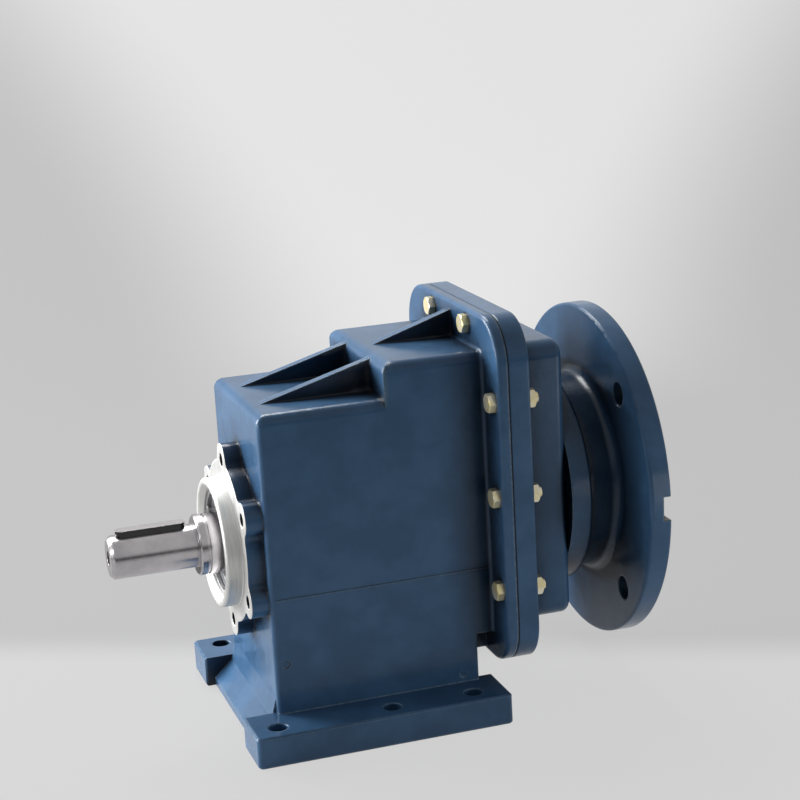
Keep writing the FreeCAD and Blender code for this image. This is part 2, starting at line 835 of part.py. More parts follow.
fillet(cover, "BoxCorners", box_corner, size("box_corner"))
fillet(cover, "BoxRear", box_rear_edge, size("box_round"))
fillet(cover, "CoverEdge", cover_edge, "Sizes.joint_edge_round / 2")
inner_box = "(%s - Sizes.box_wall)" % half_box
pocket_polygon(cover, "CoverSpace", cover_x,
               rectangle("-" + inner_box, size("box_bottom") + " + Sizes.box_wall", inner_box,
                         size("box_top") + " - Sizes.box_wall"),
               "Sizes.box_rear_x - Sizes.box_wall - Sizes.cover_x")
counter_boss_x = "(Sizes.counter_rear_x - Sizes.bearing_lead)"
pad_circles(cover, "RearCounterBoss", counter_boss_x, [("0", mid_axis, boss_radius_small)],
            "Sizes.box_rear_x - Sizes.weld - %s" % counter_boss_x)
hub_radius = "(Sizes.input_outer / 2 + Sizes.hub_wall)"
pad_circles(cover, "InputHub", size("hub_front_x"), [("0", in_axis, hub_radius)],
            "Sizes.hub_rear_x - Sizes.hub_front_x")
screw_boss_x = "Sizes.box_rear_x - Sizes.box_wall - Sizes.screw_boss_length"
pad_circles(cover, "ScrewBosses", screw_boss_x,
            [(a, b, size("screw_boss")) for a, b in flange_screws],
            "Sizes.screw_boss_length + Sizes.weld")
pocket_circles(cover, "RearCounterSeat", counter_boss_x, [("0", mid_axis, small_pocket)],
               "Sizes.small_width + 2 * Sizes.bearing_lead")
pocket_circles(cover, "LipHole", size("hub_front_x"), [("0", in_axis, size("hub_lip_radius"))],
               "Sizes.hub_lip")
pocket_circles(cover, "HubBore", size("input_front_x"),
               [("0", in_axis, "Sizes.input_outer / 2 + Sizes.fit_gap")],
               "Sizes.hub_rear_x - Sizes.input_front_x")
pocket_circles(cover, "InputClipGroove", size("input_clip_x") + " - Sizes.clip_side",
               [("0", in_axis, "Sizes.input_outer / 2 + Sizes.clip_groove")],
               "Sizes.clip_thick + 2 * Sizes.clip_side")
pocket_circles(cover, "CoverHoles", cover_x,
               [(a, b, "Sizes.bolt_hole / 2") for a, b in through_bolts + low_bolts],
               size("cover_flange"))
pocket_circles(cover, "CoverDowelHoles", cover_x,
               [(a, b, "Sizes.dowel / 2 + Sizes.fit_gap") for a, b in dowels],
               size("dowel_in_cover"))
cap_reach = "Sizes.cap_length - Sizes.neck_floor"
pocket_circles(cover, "FlangeScrewHoles", "Sizes.box_rear_x - (%s) - Sizes.screw_room" % cap_reach,
               [(a, b, "Sizes.cap_bolt / 2 + Sizes.thread_gap") for a, b in flange_screws],
               cap_reach + " + Sizes.screw_room")
finish(cover, "input_cover")

# Motor flange with its neck.
flange = new_body("motor_flange", in_axis)
flange_profile = new_sketch(flange, "FlangeProfile", "XZ_Plane")
ring_end = "Sizes.box_rear_x + Sizes.neck_ring_length"
draw_polygon(flange_profile, [
    (size("box_rear_x"), hub_radius + " + Sizes.neck_gap"),
    (size("box_rear_x"), size("neck_ring_radius")),
    (ring_end, size("neck_ring_radius")),
    (ring_end, size("neck_radius")),
    (size("flange_front_x"), size("neck_radius")),
    (size("flange_front_x"), "Sizes.motor_flange / 2"),
    (size("motor_face_x"), "Sizes.motor_flange / 2"),
    (size("motor_face_x"), "Sizes.motor_register / 2"),
    (size("motor_face_x") + " - Sizes.motor_register_depth", "Sizes.motor_register / 2"),
    (size("motor_face_x") + " - Sizes.motor_register_depth", size("neck_inner")),
    (size("box_rear_x") + " + Sizes.neck_floor", size("neck_inner")),
    (size("box_rear_x") + " + Sizes.neck_floor", hub_radius + " + Sizes.neck_gap")])
flange_turn = flange.newObject("PartDesign::Revolution", "FlangeTurned")
flange_turn.Profile = flange_profile
flange_turn.ReferenceAxis = (flange_profile, ["H_Axis"])
flange_turn.Angle = 360
doc.recompute()


def ring_at(x_expr, radius_expr):
    def wanted(edge):
        box = edge.BoundBox
        x_ok = near(box.XMin, num(x_expr)) and box.XLength < 0.01
        return x_ok and near(box.YLength / 2, num(radius_expr), 0.05)
    return wanted


fillet(flange, "NeckRoot", ring_at(size("flange_front_x"), size("neck_radius")), size("neck_fillet"))
fillet(flange, "RimRound", ring_at(size("flange_front_x"), "Sizes.motor_flange / 2"), size("rim_round"))
fillet(flange, "RingRound", ring_at(ring_end, size("neck_ring_radius")), size("neck_ring_round"))
chamfer(flange, "RimEdge", ring_at(size("motor_face_x"), "Sizes.motor_flange / 2"),
        size("rim_chamfer"))
motor_holes = []
for turn in range(4):
    across, up = polar("Sizes.motor_circle / 2", 45 + 90 * turn)
    motor_holes.append((across, up, "Sizes.motor_hole / 2"))
pocket_circles(flange, "MotorHoles", size("flange_front_x"), motor_holes, size("motor_flange_thick"))
screw_holes = []
for turn in range(4):
    across, up = polar("Sizes.flange_screw_circle / 2", 45 + 90 * turn)
    screw_holes.append((across, up, "Sizes.cap_hole / 2"))
pocket_circles(flange, "ScrewHoles", size("box_rear_x"), screw_holes, size("neck_floor"))
rim = "Sizes.motor_flange / 2"
pocket_polygon(flange, "RimNotch", size("motor_face_x") + " - Sizes.notch_length",
               rectangle("-%s - Sizes.weld" % rim, "-Sizes.notch_width / 2",
                         "-(%s - Sizes.notch_depth)" % rim, "Sizes.notch_width / 2"),
               size("notch_length"))
finish(flange, "motor_flange")


# Fasteners.
def hexagon(name, height, base):
    prism = doc.addObject("Part::Prism", name + "Prism")
    prism.Polygon = 6
    bind(prism, Circumradius="Sizes.hex_flats / (2 * cos(30))", Height=height)
    return place(prism, base, ALONG_X * FreeCAD.Rotation(FreeCAD.Vector(0, 0, 1), 30))


def dome(name, height, base, outward):
    cone = doc.addObject("Part::Cone", name + "Dome")
    small = "Sizes.hex_flats * Sizes.hex_face / 2"
    large = "%s + %s / tan(30)" % (small, height)
    if outward:
        bind(cone, Radius1=large, Radius2=small, Height=height)
    else:
        bind(cone, Radius1=small, Radius2=large, Height=height)
    return place(cone, base, ALONG_X)


def hex_piece(name, height, x_expr, spot, outward):
    base = along(x_expr, spot[0], spot[1])
    body = doc.addObject("Part::Common", name + "Hexagon")
    body.Base = hexagon(name, height, base)
    body.Tool = dome(name, height, base, outward)
    doc.recompute()
    return body


def hex_bolt(name, spot, x_expr, reverse):
    """Bolt whose head sits on the plane x_expr; the head points to -X unless reversed."""
    head_x = x_expr if reverse else x_expr + " - Sizes.hex_head"
    head = hex_piece(name, size("hex_head"), head_x, spot, reverse)
    shank_x = x_expr + " - Sizes.bolt_length" if reverse else x_expr
    shank = cylinder(name + "Shank", size("shank"), size("bolt_length"),
                     along(shank_x, spot[0], spot[1]))
    return joined(name, [head, shank])


bolts = [hex_bolt("Bolt%d" % i, spot, size("joint_x"), False)
         for i, spot in enumerate(through_bolts)]
finish(grouped("cover_bolts", bolts), "cover_bolts")
low_screws = [hex_bolt("LowScrew%d" % i, spot, size("cover_rear_x"), True)
              for i, spot in enumerate(low_bolts)]
finish(grouped("cover_screws", low_screws), "cover_screws")
nuts = []
for i, spot in enumerate(through_bolts):
    nut = hex_piece("Nut%d" % i, size("hex_nut"), size("cover_rear_x"), spot, True)
    bore = cylinder("NutBore%d" % i, "Sizes.shank + Sizes.thread_gap", size("hex_nut"),
                    along(size("cover_rear_x"), spot[0], spot[1]))
    nuts.append(cut("NutBody%d" % i, nut, bore))
finish(grouped("cover_nuts", nuts), "cover_nuts")

caps = []
cap_x = "Sizes.box_rear_x + Sizes.neck_floor"
for i, (a, b) in enumerate(flange_screws):
    head = cylinder("CapHead%d" % i, "Sizes.cap_head / 2", size("cap_height"), along(cap_x, a, b))
    shank = cylinder("CapShank%d" % i, "Sizes.cap_bolt / 2", size("cap_length"),
                     along(cap_x + " - Sizes.cap_length", a, b))
    socket = doc.addObject("Part::Prism", "CapSocket%d" % i)
    socket.Polygon = 6
    bind(socket, Circumradius="Sizes.cap_socket / (2 * cos(30))", Height="Sizes.cap_height / 2")
    place(socket, along(cap_x + " + Sizes.cap_height / 2", a, b), ALONG_X)
    caps.append(cut("Cap%d" % i, joined("CapSolid%d" % i, [head, shank]), socket))
finish(grouped("flange_screws", caps), "flange_screws")

pins = [cylinder("Pin%d" % i, "Sizes.dowel / 2",
                 "Sizes.dowel_in_case + Sizes.gasket + Sizes.dowel_in_cover - 2 * Sizes.dowel_gap",
                 along("Sizes.joint_x + Sizes.case_flange - Sizes.dowel_in_case + Sizes.dowel_gap", a, b))
        for i, (a, b) in enumerate(dowels)]
finish(grouped("dowel_pins", pins), "dowel_pins")

plug_face = "(%s + Sizes.plug_boss_length)" % half_case
plugs = []
washers = []
for i, (a, b) in enumerate(plug_spots):
    ring = cylinder("PlugRing%d" % i, "Sizes.plug_head / 2", size("plug_washer"),
                    along(a, plug_face, b), ALONG_Y)
    hole = cylinder("PlugRingHole%d" % i, "Sizes.plug / 2 + Sizes.thread_gap", size("plug_washer"),
                    along(a, plug_face, b), ALONG_Y)
    washers.append(cut("PlugWasher%d" % i, ring, hole))
    head_y = plug_face + " + Sizes.plug_washer"
    head = cylinder("PlugHead%d" % i, "Sizes.plug_head / 2", size("plug_head_height"),
                    along(a, head_y, b), ALONG_Y)
    stem = cylinder("PlugStem%d" % i, "Sizes.plug / 2", "Sizes.plug_boss_length + Sizes.case_wall",
                    along(a, head_y + " - Sizes.plug_boss_length - Sizes.case_wall", b), ALONG_Y)
    socket = doc.addObject("Part::Prism", "PlugSocket%d" % i)
    socket.Polygon = 6
    bind(socket, Circumradius="Sizes.plug_socket / (2 * cos(30))", Height=size("plug_head_height"))
    place(socket, along(a, head_y + " + Sizes.plug_floor", b), ALONG_Y)
    plugs.append(cut("Plug%d" % i, joined("PlugSolid%d" % i, [head, stem]), socket))
finish(grouped("oil_plugs", plugs), "oil_plugs")
finish(grouped("plug_washers", washers), "plug_washers")


# Ball bearings: outer ring, inner ring, balls and cage.
def bearing(label, x_expr, height, bore, outer, width, ball, count):
    pitch = "((%s + %s) / 4)" % (bore, outer)
    middle = "%s + %s / 2" % (x_expr, width)
    end = "%s + %s" % (x_expr, width)
    outer_ring = turned(label + "_outer", height,
                        tube(x_expr, end, "%s + %s * Sizes.race_shoulder" % (pitch, ball), outer + " / 2"))
    groove_circle(outer_ring, label + "OuterRace", middle, pitch, ball + " / 2 + Sizes.seat_race_gap")
    finish(outer_ring, label + "_outer")
    inner_ring = turned(label + "_inner", height,
                        tube(x_expr, end, bore + " / 2 + Sizes.fit_gap",
                             "%s - %s * Sizes.race_shoulder" % (pitch, ball)))
    groove_circle(inner_ring, label + "InnerRace", middle, pitch, ball + " / 2 + Sizes.race_gap")
    finish(inner_ring, label + "_inner")
    balls = []
    gaps = []
    for i in range(count):
        across, up = polar(pitch, 360.0 * i / count)
        base = along(middle, across, "%s + %s" % (height, up))
        for store, extra in ((balls, "0"), (gaps, "Sizes.race_gap")):
            sphere = doc.addObject("Part::Sphere", label + "Ball")
            sphere.setExpression("Radius", "%s / 2 + %s" % (ball, extra))
            store.append(place(sphere, base))
    finish(grouped(label + "_balls", balls), label + "_balls")
    cage_width = "(%s + 2 * Sizes.race_gap + 2 * Sizes.cage_rim)" % ball
    ring = cylinder(label + "CageRing", "%s + %s * Sizes.cage_half" % (pitch, ball), cage_width,
                    along("%s - %s / 2" % (middle, cage_width), "0", height))
    hole = cylinder(label + "CageHole", "%s - %s * Sizes.cage_half" % (pitch, ball), cage_width,
                    along("%s - %s / 2" % (middle, cage_width), "0", height))
    cage = cut(label + "_cage", ring, joined(label + "CageCuts", [hole] + gaps))
    finish(cage, label + "_cage")


big = (size("output_seat"), size("big_outer"), size("big_width"), size("big_ball"), 11)
small = (size("small_bore"), size("small_outer"), size("small_width"), size("small_ball"), 8)
middling = (size("input_seat"), size("input_outer"), size("input_width"), size("input_ball"), 11)
bearing("output_front_bearing", size("output_front_x"), out_axis, *big)
bearing("output_rear_bearing", size("output_rear_x"), out_axis, *big)
counter_front_x = "(Sizes.inner_front_x + Sizes.weld)"
bearing("counter_front_bearing", counter_front_x, mid_axis, *small)
bearing("counter_rear_bearing", size("counter_rear_x"), mid_axis, *small)
bearing("input_front_bearing", size("input_front_x"), in_axis, *middling)
bearing("input_rear_bearing", size("input_rear_x"), in_axis, *middling)


# Shaft seals, spacers and retaining rings.
def shaft_seal(label, x_expr, height, shaft, outer):
    lip = shaft + " / 2 + Sizes.run_gap"
    rim_in = outer + " / 2 - Sizes.seal_rim"
    core = shaft + " / 2 + Sizes.seal_core"
    end = x_expr + " + Sizes.seal_width"
    hollow_x = x_expr + " + Sizes.seal_hollow"
    lead_x = x_expr + " + Sizes.seal_lead"
    finish(turned(label, height, [
        (x_expr, lip + " + Sizes.seal_lip"), (x_expr, core), (hollow_x, core), (hollow_x, rim_in),
        (lead_x, rim_in), (lead_x, outer + " / 2"), (end, outer + " / 2"), (end, lip),
        (x_expr + " + Sizes.seal_lip", lip)]), label)


shaft_seal("output_seal", size("seal_x"), out_axis, size("output_seat"), size("big_outer"))
shaft_seal("input_seal", size("input_seal_x"), in_axis, size("input_seat"), size("input_outer"))
spread_end = "Sizes.input_front_x + Sizes.input_width"
finish(turned("input_outer_spacer", in_axis,
              tube(spread_end, size("input_rear_x"), "Sizes.input_outer / 2 - Sizes.spacer_wall",
                   "Sizes.input_outer / 2")), "input_outer_spacer")
finish(turned("input_inner_spacer", in_axis,
              tube(spread_end, size("input_rear_x"), "Sizes.input_seat / 2 + Sizes.fit_gap",
                   "Sizes.input_seat / 2 + Sizes.spacer_wall")), "input_inner_spacer")
finish(turned("counter_spacer", mid_axis,
              tube(size("first_end_x"), size("counter_rear_x"),
                   "Sizes.small_bore / 2 + Sizes.fit_gap", "Sizes.small_bore / 2 + Sizes.spacer_wall")),
       "counter_spacer")


def clip(label, x_expr, height, outer, inner, lug_radius, opening, facing):
    """Flat retaining ring with a gap and two eyed lugs; facing turns the gap about X."""
    turn = FreeCAD.Rotation(FreeCAD.Vector(1, 0, 0), facing)
    base = along(x_expr, "0", height)
    sweep = 360 - opening
    spin = FreeCAD.Rotation(FreeCAD.Vector(0, 0, 1), opening / 2)
    band = cylinder(label + "Band", outer, size("clip_thick"), base, turn * ALONG_X * spin, sweep)
    hole = cylinder(label + "Hole", inner, size("clip_thick"), base)
    pieces = [cut(label + "Ring", band, hole)]
    eyes = []
    for side in (-1, 1):
        angle = facing + side * (opening / 2 + 6)
        across, up = polar(lug_radius, angle - 90)
        spot = along(x_expr, across, "%s + %s" % (height, up))
        pieces.append(cylinder(label + "Lug", size("clip_lug"), size("clip_thick"), spot))
        eyes.append(cylinder(label + "Eye", size("clip_hole"), size("clip_thick"), spot))
    body = joined(label + "Solid", pieces)
    finish(cut(label, body, joined(label + "Eyes", eyes)), label)


clip("output_circlip", size("clip_x"), out_axis,
     "Sizes.big_outer / 2 + Sizes.clip_groove - Sizes.clip_side",
     "Sizes.big_outer / 2 + Sizes.clip_groove - Sizes.clip_band",
     "(Sizes.big_outer / 2 - Sizes.clip_lug - Sizes.clip_lug_inset)", 36, 92)
clip("input_circlip", size("input_clip_x"), in_axis,
     "Sizes.input_outer / 2 + Sizes.clip_groove - Sizes.clip_side",
     "Sizes.input_outer / 2 + Sizes.clip_groove - Sizes.clip_band",
     "(Sizes.input_outer / 2 - Sizes.clip_lug - Sizes.clip_lug_inset)", 36, 180)


# Helical gears with involute flanks.
def involute(angle):
    return math.tan(angle) - angle


def gear_wire(module, teeth, shift, turn):
    helix = math.radians(num(size("helix_angle")))
    pressure = math.atan(math.tan(math.radians(num(size("pressure_angle")))) / math.cos(helix))
    pitch = module * teeth / (2 * math.cos(helix))
    base = pitch * math.cos(pressure)
    tip = pitch + module * (num(size("tip_factor")) + shift)
    root = pitch - module * (num(size("root_factor")) - shift)
    thickness = module / math.cos(helix) * math.pi / 2 + 2 * module * shift * math.tan(pressure)
    half = (thickness - num(size("backlash")) / 2) / (2 * pitch) + involute(pressure)
    start = max(base, root) + 0.01
    radii = [start + (tip - start) * k / 6.0 for k in range(7)]

    def at(radius, angle):
        return FreeCAD.Vector(0, radius * math.cos(angle), radius * math.sin(angle))

    def flank(centre, side):
        spots = []
        if root < start - 0.05:
            spots.append(at(root, centre + side * (half - involute(math.acos(base / start)))))
        for radius in radii:
            spots.append(at(radius, centre + side * (half - involute(math.acos(base / radius)))))
        return spots

    def curve(spots):
        line = Part.BSplineCurve()
        line.interpolate(spots)
        return line.toShape()

    edges = []
    for tooth in range(teeth):
        centre = turn + 2 * math.pi * tooth / teeth
        after = centre + 2 * math.pi / teeth
        rise = flank(centre, -1)
        fall = list(reversed(flank(centre, 1)))
        edges.append(curve(rise))
        edges.append(Part.Arc(rise[-1], at(tip, centre), fall[0]).toShape())
        edges.append(curve(fall))
        valley = flank(after, -1)[0]
        edges.append(Part.Arc(fall[-1], at(root, (centre + after) / 2), valley).toShape())
    return Part.Wire(edges)


def helical_gear(module, teeth, shift, length, hand, turn, sections):
    """Toothed solid from x = 0 to x = length, twisted about the X axis."""
    helix = math.radians(num(size("helix_angle")))
    pitch = module * teeth / (2 * math.cos(helix))
    wires = []
    for k in range(sections):
        x = length * k / (sections - 1)
        twist = hand * (x - length / 2) * math.tan(helix) / pitch
        wire = gear_wire(module, teeth, shift, turn + twist)
        wire.translate(FreeCAD.Vector(x, 0, 0))
        wires.append(wire)
    return Part.makeLoft(wires, True, False)


def toothed(name, x_expr, height, solid):
    thing = doc.addObject("Part::Feature", name)
    thing.Shape = solid
    return place(thing, along(x_expr, "0", height))


def round_key(label, x_expr, length, width, base_z, key_height):
    """Parallel key with round ends, lying along X on the vertical centre plane."""
    body = new_body(label)
    sketch = new_sketch(body, label + "Outline", "XY_Plane", base_z)
    draw_polygon(sketch, rectangle(x_expr, "-%s / 2" % width, "%s + %s" % (x_expr, length),
                                   "%s / 2" % width))
    pad(body, sketch, key_height)

    def upright(edge):
        return is_along(edge, 2)

    fillet(body, label + "Ends", upright, "%s * 0.4999" % width)
    return body


def key_slot(body, name, x_expr, length, width, local_z, gap):
    """Round-ended keyway cut upwards from local_z in a turned body."""
    sketch = new_sketch(body, name, "XY_Plane", local_z)
    half = "(%s / 2 + %s)" % (width, gap)
    count = 8
    corners = []
    for end, centre in ((-1, "(%s + %s / 2)" % (x_expr, width)),
                        (1, "(%s + %s - %s / 2)" % (x_expr, length, width))):
        for k in range(count + 1):
            angle = 90 + 180.0 * k / count if end < 0 else -90 + 180.0 * k / count
            along_x, across = polar("(%s / cos(%g))" % (half, 90.0 / count), angle)
            corners.append(("%s + %s" % (centre, along_x), across))
    draw_polygon(sketch, corners)
    pocket(body, sketch, "Sizes.key_height")


def teeth(alias):
    return int(num(size(alias)))


first_module = num(size("first_module"))
second_module = num(size("second_module"))
shift = num(size("pinion_shift"))
overlap = num(size("pinion_overlap"))

# Tooth phases: the pinion shows a tooth where the gear below or above shows a gap.
second_turn = math.pi / 2 + math.pi / teeth("second_gear_teeth")
first_turn = -math.pi / 2 + math.pi / teeth("first_gear_teeth")
second_gear_solid = helical_gear(second_module, teeth("second_gear_teeth"), -shift,
                                 num(size("second_width")), 1, second_turn, 4)
second_pinion_solid = helical_gear(second_module, teeth("second_pinion_teeth"), shift,
                                   num(size("second_width")) + 2 * overlap, -1, -math.pi / 2, 8)
first_gear_solid = helical_gear(first_module, teeth("first_gear_teeth"), -shift,
                                num(size("first_width")), -1, first_turn, 4)
first_pinion_solid = helical_gear(first_module, teeth("first_pinion_teeth"), shift,
                                  num(size("first_width")) + 2 * overlap, 1, math.pi / 2, 8)

# Output shaft with its keys, gear and retaining ring.
ring_x = size("second_end_x") + " + Sizes.clip_side"
groove_end = ring_x + " + Sizes.clip_thick + Sizes.clip_side"
groove_radius = "Sizes.gear_seat / 2 - Sizes.clip_groove"
shaft_end = groove_end + " + Sizes.ring_land"
land_x = size("shoulder_x") + " + Sizes.seat_land"
land_groove = "Sizes.output_seat / 2 - Sizes.seat_groove_depth"
out_body = turned("output_shaft", out_axis, stepped(
    (size("tip_x"), "Sizes.output_shaft / 2 - Sizes.output_chamfer"),
    (size("tip_x") + " + Sizes.output_chamfer", "Sizes.output_shaft / 2"),
    (size("shoulder_x"), "Sizes.output_shaft / 2"),
    (size("shoulder_x"), "Sizes.output_seat / 2 - Sizes.shaft_chamfer"),
    (size("shoulder_x") + " + Sizes.shaft_chamfer", "Sizes.output_seat / 2"),
    (land_x, "Sizes.output_seat / 2"),
    (land_x, land_groove),
    (land_x + " + Sizes.seat_groove", land_groove),
    (land_x + " + Sizes.seat_groove", "Sizes.output_seat / 2"),
    (size("collar_x"), "Sizes.output_seat / 2"),
    (size("collar_x"), "Sizes.collar / 2"),
    (size("output_rear_x"), "Sizes.collar / 2"),
    (size("output_rear_x"), "Sizes.output_seat / 2"),
    (size("output_rear_x") + " + Sizes.big_width", "Sizes.output_seat / 2"),
    (size("output_rear_x") + " + Sizes.big_width", "Sizes.gear_seat / 2"),
    (size("second_end_x"), "Sizes.gear_seat / 2"),
    (size("second_end_x"), groove_radius),
    (groove_end, groove_radius),
    (groove_end, "Sizes.gear_seat / 2"),
    (shaft_end, "Sizes.gear_seat / 2 - Sizes.shaft_chamfer")))
key_floor = "Sizes.output_shaft / 2 - Sizes.key_in_shaft"
key_slot(out_body, "EndKeyway", size("tip_x") + " + Sizes.key_from_end", size("key_length"),
         size("key_width"), key_floor, size("fit_gap"))
gear_key_floor = "Sizes.gear_seat / 2 - Sizes.key_in_shaft"
gear_key_x = "Sizes.second_gear_x + (Sizes.second_width - Sizes.gear_key_length) / 2"
key_slot(out_body, "GearKeyway", gear_key_x, size("gear_key_length"), size("key_width"),
         gear_key_floor, size("fit_gap"))
pocket_circles(out_body, "CentreHole", size("tip_x"), [("0", "0", size("output_centre"))],
               size("output_centre_depth"))
finish(out_body, "output_shaft")
finish(round_key("output_key", size("tip_x") + " + Sizes.key_from_end", size("key_length"),
                 size("key_width"), "%s + %s" % (out_axis, key_floor), size("key_height")),
       "output_key")
finish(round_key("output_gear_key", gear_key_x, size("gear_key_length"), size("key_width"),
                 "%s + %s" % (out_axis, gear_key_floor), size("key_height")), "output_gear_key")


def keyed_gear(label, solid, x_expr, height, seat, width, key_width, key_top, hub):
    rim = toothed(label + "Teeth", x_expr, height, solid)
    hub_x, hub_radius_expr, hub_length = hub
    collar = cylinder(label + "Hub", hub_radius_expr, hub_length, along(hub_x, "0", height))
    bore = cylinder(label + "Bore", "%s / 2 + Sizes.fit_gap" % seat,
                    "%s + %s" % (hub_length, width), along(hub_x, "0", height))
    slot = block(label + "Slot", "%s + %s" % (hub_length, width), key_width + " + 2 * Sizes.fit_gap",
                 key_top, along(hub_x, "-%s / 2 - Sizes.fit_gap" % key_width, height))
    whole = joined(label + "Whole", [rim, collar])
    finish(cut(label, whole, joined(label + "Cuts", [bore, slot])), label)


hub_gap_x = size("output_rear_x") + " + Sizes.big_width"
keyed_gear("output_gear", second_gear_solid, size("second_gear_x"), out_axis, size("gear_seat"),
           size("second_width"), size("key_width"),
           "Sizes.gear_seat / 2 - Sizes.key_in_shaft + Sizes.key_height + Sizes.key_gap",
           (hub_gap_x, "Sizes.gear_seat / 2 + Sizes.gear_hub_wall",
            "Sizes.second_gear_x - (%s) + Sizes.weld" % hub_gap_x))
clip("gear_circlip", ring_x, out_axis, "Sizes.gear_seat / 2 + Sizes.clip_ring",
     groove_radius + " + Sizes.clip_side", "(Sizes.gear_seat / 2 + Sizes.clip_lug_out)", 40, 0)

# Countershaft with its pinion, gear and key.
pinion_x = "(Sizes.second_gear_x - Sizes.pinion_overlap)"
pinion_end = "(Sizes.second_end_x + Sizes.pinion_overlap)"
counter_tip = counter_front_x + " + Sizes.bearing_lead"
counter_end = "Sizes.counter_rear_x + Sizes.small_width - Sizes.bearing_lead"
bearing_end = counter_front_x + " + Sizes.small_width"
counter_blank = turned("CounterBlank", mid_axis, stepped(
    (counter_tip, "Sizes.small_bore / 2 - Sizes.shaft_chamfer"),
    (counter_tip + " + Sizes.shaft_chamfer", "Sizes.small_bore / 2"),
    (bearing_end, "Sizes.small_bore / 2"),
    (bearing_end, "Sizes.counter_collar / 2"),
    (pinion_end, "Sizes.counter_collar / 2"),
    (pinion_end, "Sizes.counter_body / 2"),
    (size("first_gear_x"), "Sizes.counter_body / 2"),
    (size("first_gear_x"), "Sizes.counter_seat / 2"),
    (size("first_end_x"), "Sizes.counter_seat / 2"),
    (size("first_end_x"), "Sizes.small_bore / 2"),
    (counter_end + " - Sizes.shaft_chamfer", "Sizes.small_bore / 2"),
    (counter_end, "Sizes.small_bore / 2 - Sizes.shaft_chamfer")))
counter_floor = "Sizes.counter_seat / 2 - Sizes.counter_key_in_shaft"
counter_key_x = "Sizes.first_gear_x + (Sizes.first_width - Sizes.counter_key_length) / 2"
key_slot(counter_blank, "CounterKeyway", counter_key_x, size("counter_key_length"),
         size("counter_key_width"), counter_floor, size("fit_gap"))
counter_teeth = toothed("CounterTeeth", pinion_x, mid_axis, second_pinion_solid)
finish(joined("counter_shaft", [counter_blank, counter_teeth]), "counter_shaft")
finish(round_key("counter_key", counter_key_x, size("counter_key_length"),
                 size("counter_key_width"), "%s + %s" % (mid_axis, counter_floor),
                 size("counter_key_height")), "counter_key")
keyed_gear("counter_gear", first_gear_solid, size("first_gear_x"), mid_axis, size("counter_seat"),
           size("first_width"), size("counter_key_width"),
           "Sizes.counter_seat / 2 - Sizes.counter_key_in_shaft + Sizes.counter_key_height"
           " + Sizes.key_gap",
           (size("first_gear_x"), "Sizes.counter_seat / 2 + Sizes.gear_hub_wall", size("first_width")))

# Hollow input shaft with its pinion.
input_pinion_x = "(Sizes.first_gear_x - Sizes.pinion_overlap)"
input_pinion_end = "(Sizes.first_end_x + Sizes.pinion_overlap)"
bore_x = "Sizes.input_end_x - Sizes.motor_bore_depth"
ring_groove = "Sizes.input_seat / 2 - Sizes.clip_groove"
ring_start = size("input_rear_x") + " + Sizes.input_width"
ring_stop = ring_start + " + Sizes.clip_thick + 2 * Sizes.clip_side"
input_blank = turned("InputBlank", in_axis, stepped(
    (input_pinion_x + " + Sizes.weld", "Sizes.input_neck / 2 - Sizes.weld"),
    (input_pinion_end, "Sizes.input_neck / 2 - Sizes.weld"),
    (input_pinion_end, "Sizes.input_neck / 2"),
    ("Sizes.input_front_x - Sizes.hub_lip - Sizes.weld", "Sizes.input_neck / 2"),
    ("Sizes.input_front_x - Sizes.hub_lip - Sizes.weld", "Sizes.input_collar / 2"),
    (size("input_front_x"), "Sizes.input_collar / 2"),
    (size("input_front_x"), "Sizes.input_seat / 2"),
    (ring_start, "Sizes.input_seat / 2"),
    (ring_start, ring_groove),
    (ring_stop, ring_groove),
    (ring_stop, "Sizes.input_seat / 2"),
    (size("input_end_x") + " - Sizes.shaft_chamfer", "Sizes.input_seat / 2"),
    (size("input_end_x"), "Sizes.input_seat / 2 - Sizes.shaft_chamfer")))
pocket_circles(input_blank, "MotorBore", bore_x, [("0", "0", "Sizes.motor_bore / 2")],
               size("motor_bore_depth"))
slot_sketch = new_sketch(input_blank, "MotorKeyway", "YZ_Plane", bore_x + " + Sizes.ring_land")
draw_polygon(slot_sketch, rectangle("-Sizes.motor_key_width / 2", "0", "Sizes.motor_key_width / 2",
                                    "Sizes.motor_bore / 2 + Sizes.motor_key_rise"))
pocket(input_blank, slot_sketch, "Sizes.motor_bore_depth - Sizes.ring_land")
input_teeth = toothed("InputTeeth", input_pinion_x, in_axis, first_pinion_solid)
finish(joined("input_shaft", [input_blank, input_teeth]), "input_shaft")
clip("input_shaft_circlip", size("input_clip_x"), in_axis, "Sizes.input_seat / 2 + Sizes.clip_ring",
     ring_groove + " + Sizes.clip_side", "(Sizes.input_seat / 2 + Sizes.clip_lug_out)", 40, 0)

doc.recompute()
problems = []
for thing in doc.Objects:
    if "Invalid" in thing.State or "Error" in thing.State:
        problems.append("%s is %s" % (thing.Name, thing.State))
for thing in finished:
    if thing.Shape.isNull() or not thing.Shape.isValid():
        problems.append(thing.Label + " has no valid shape")
if problems:
    raise ValueError("; ".join(problems))
os.makedirs("parts", exist_ok=True)
for thing in finished:
    thing.Shape.exportStep("parts/%s.step" % thing.Label)
    print(thing.Label, len(thing.Shape.Solids), round(thing.Shape.Volume))
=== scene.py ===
import json
import math

import bmesh
import bpy
from mathutils import Matrix, Vector

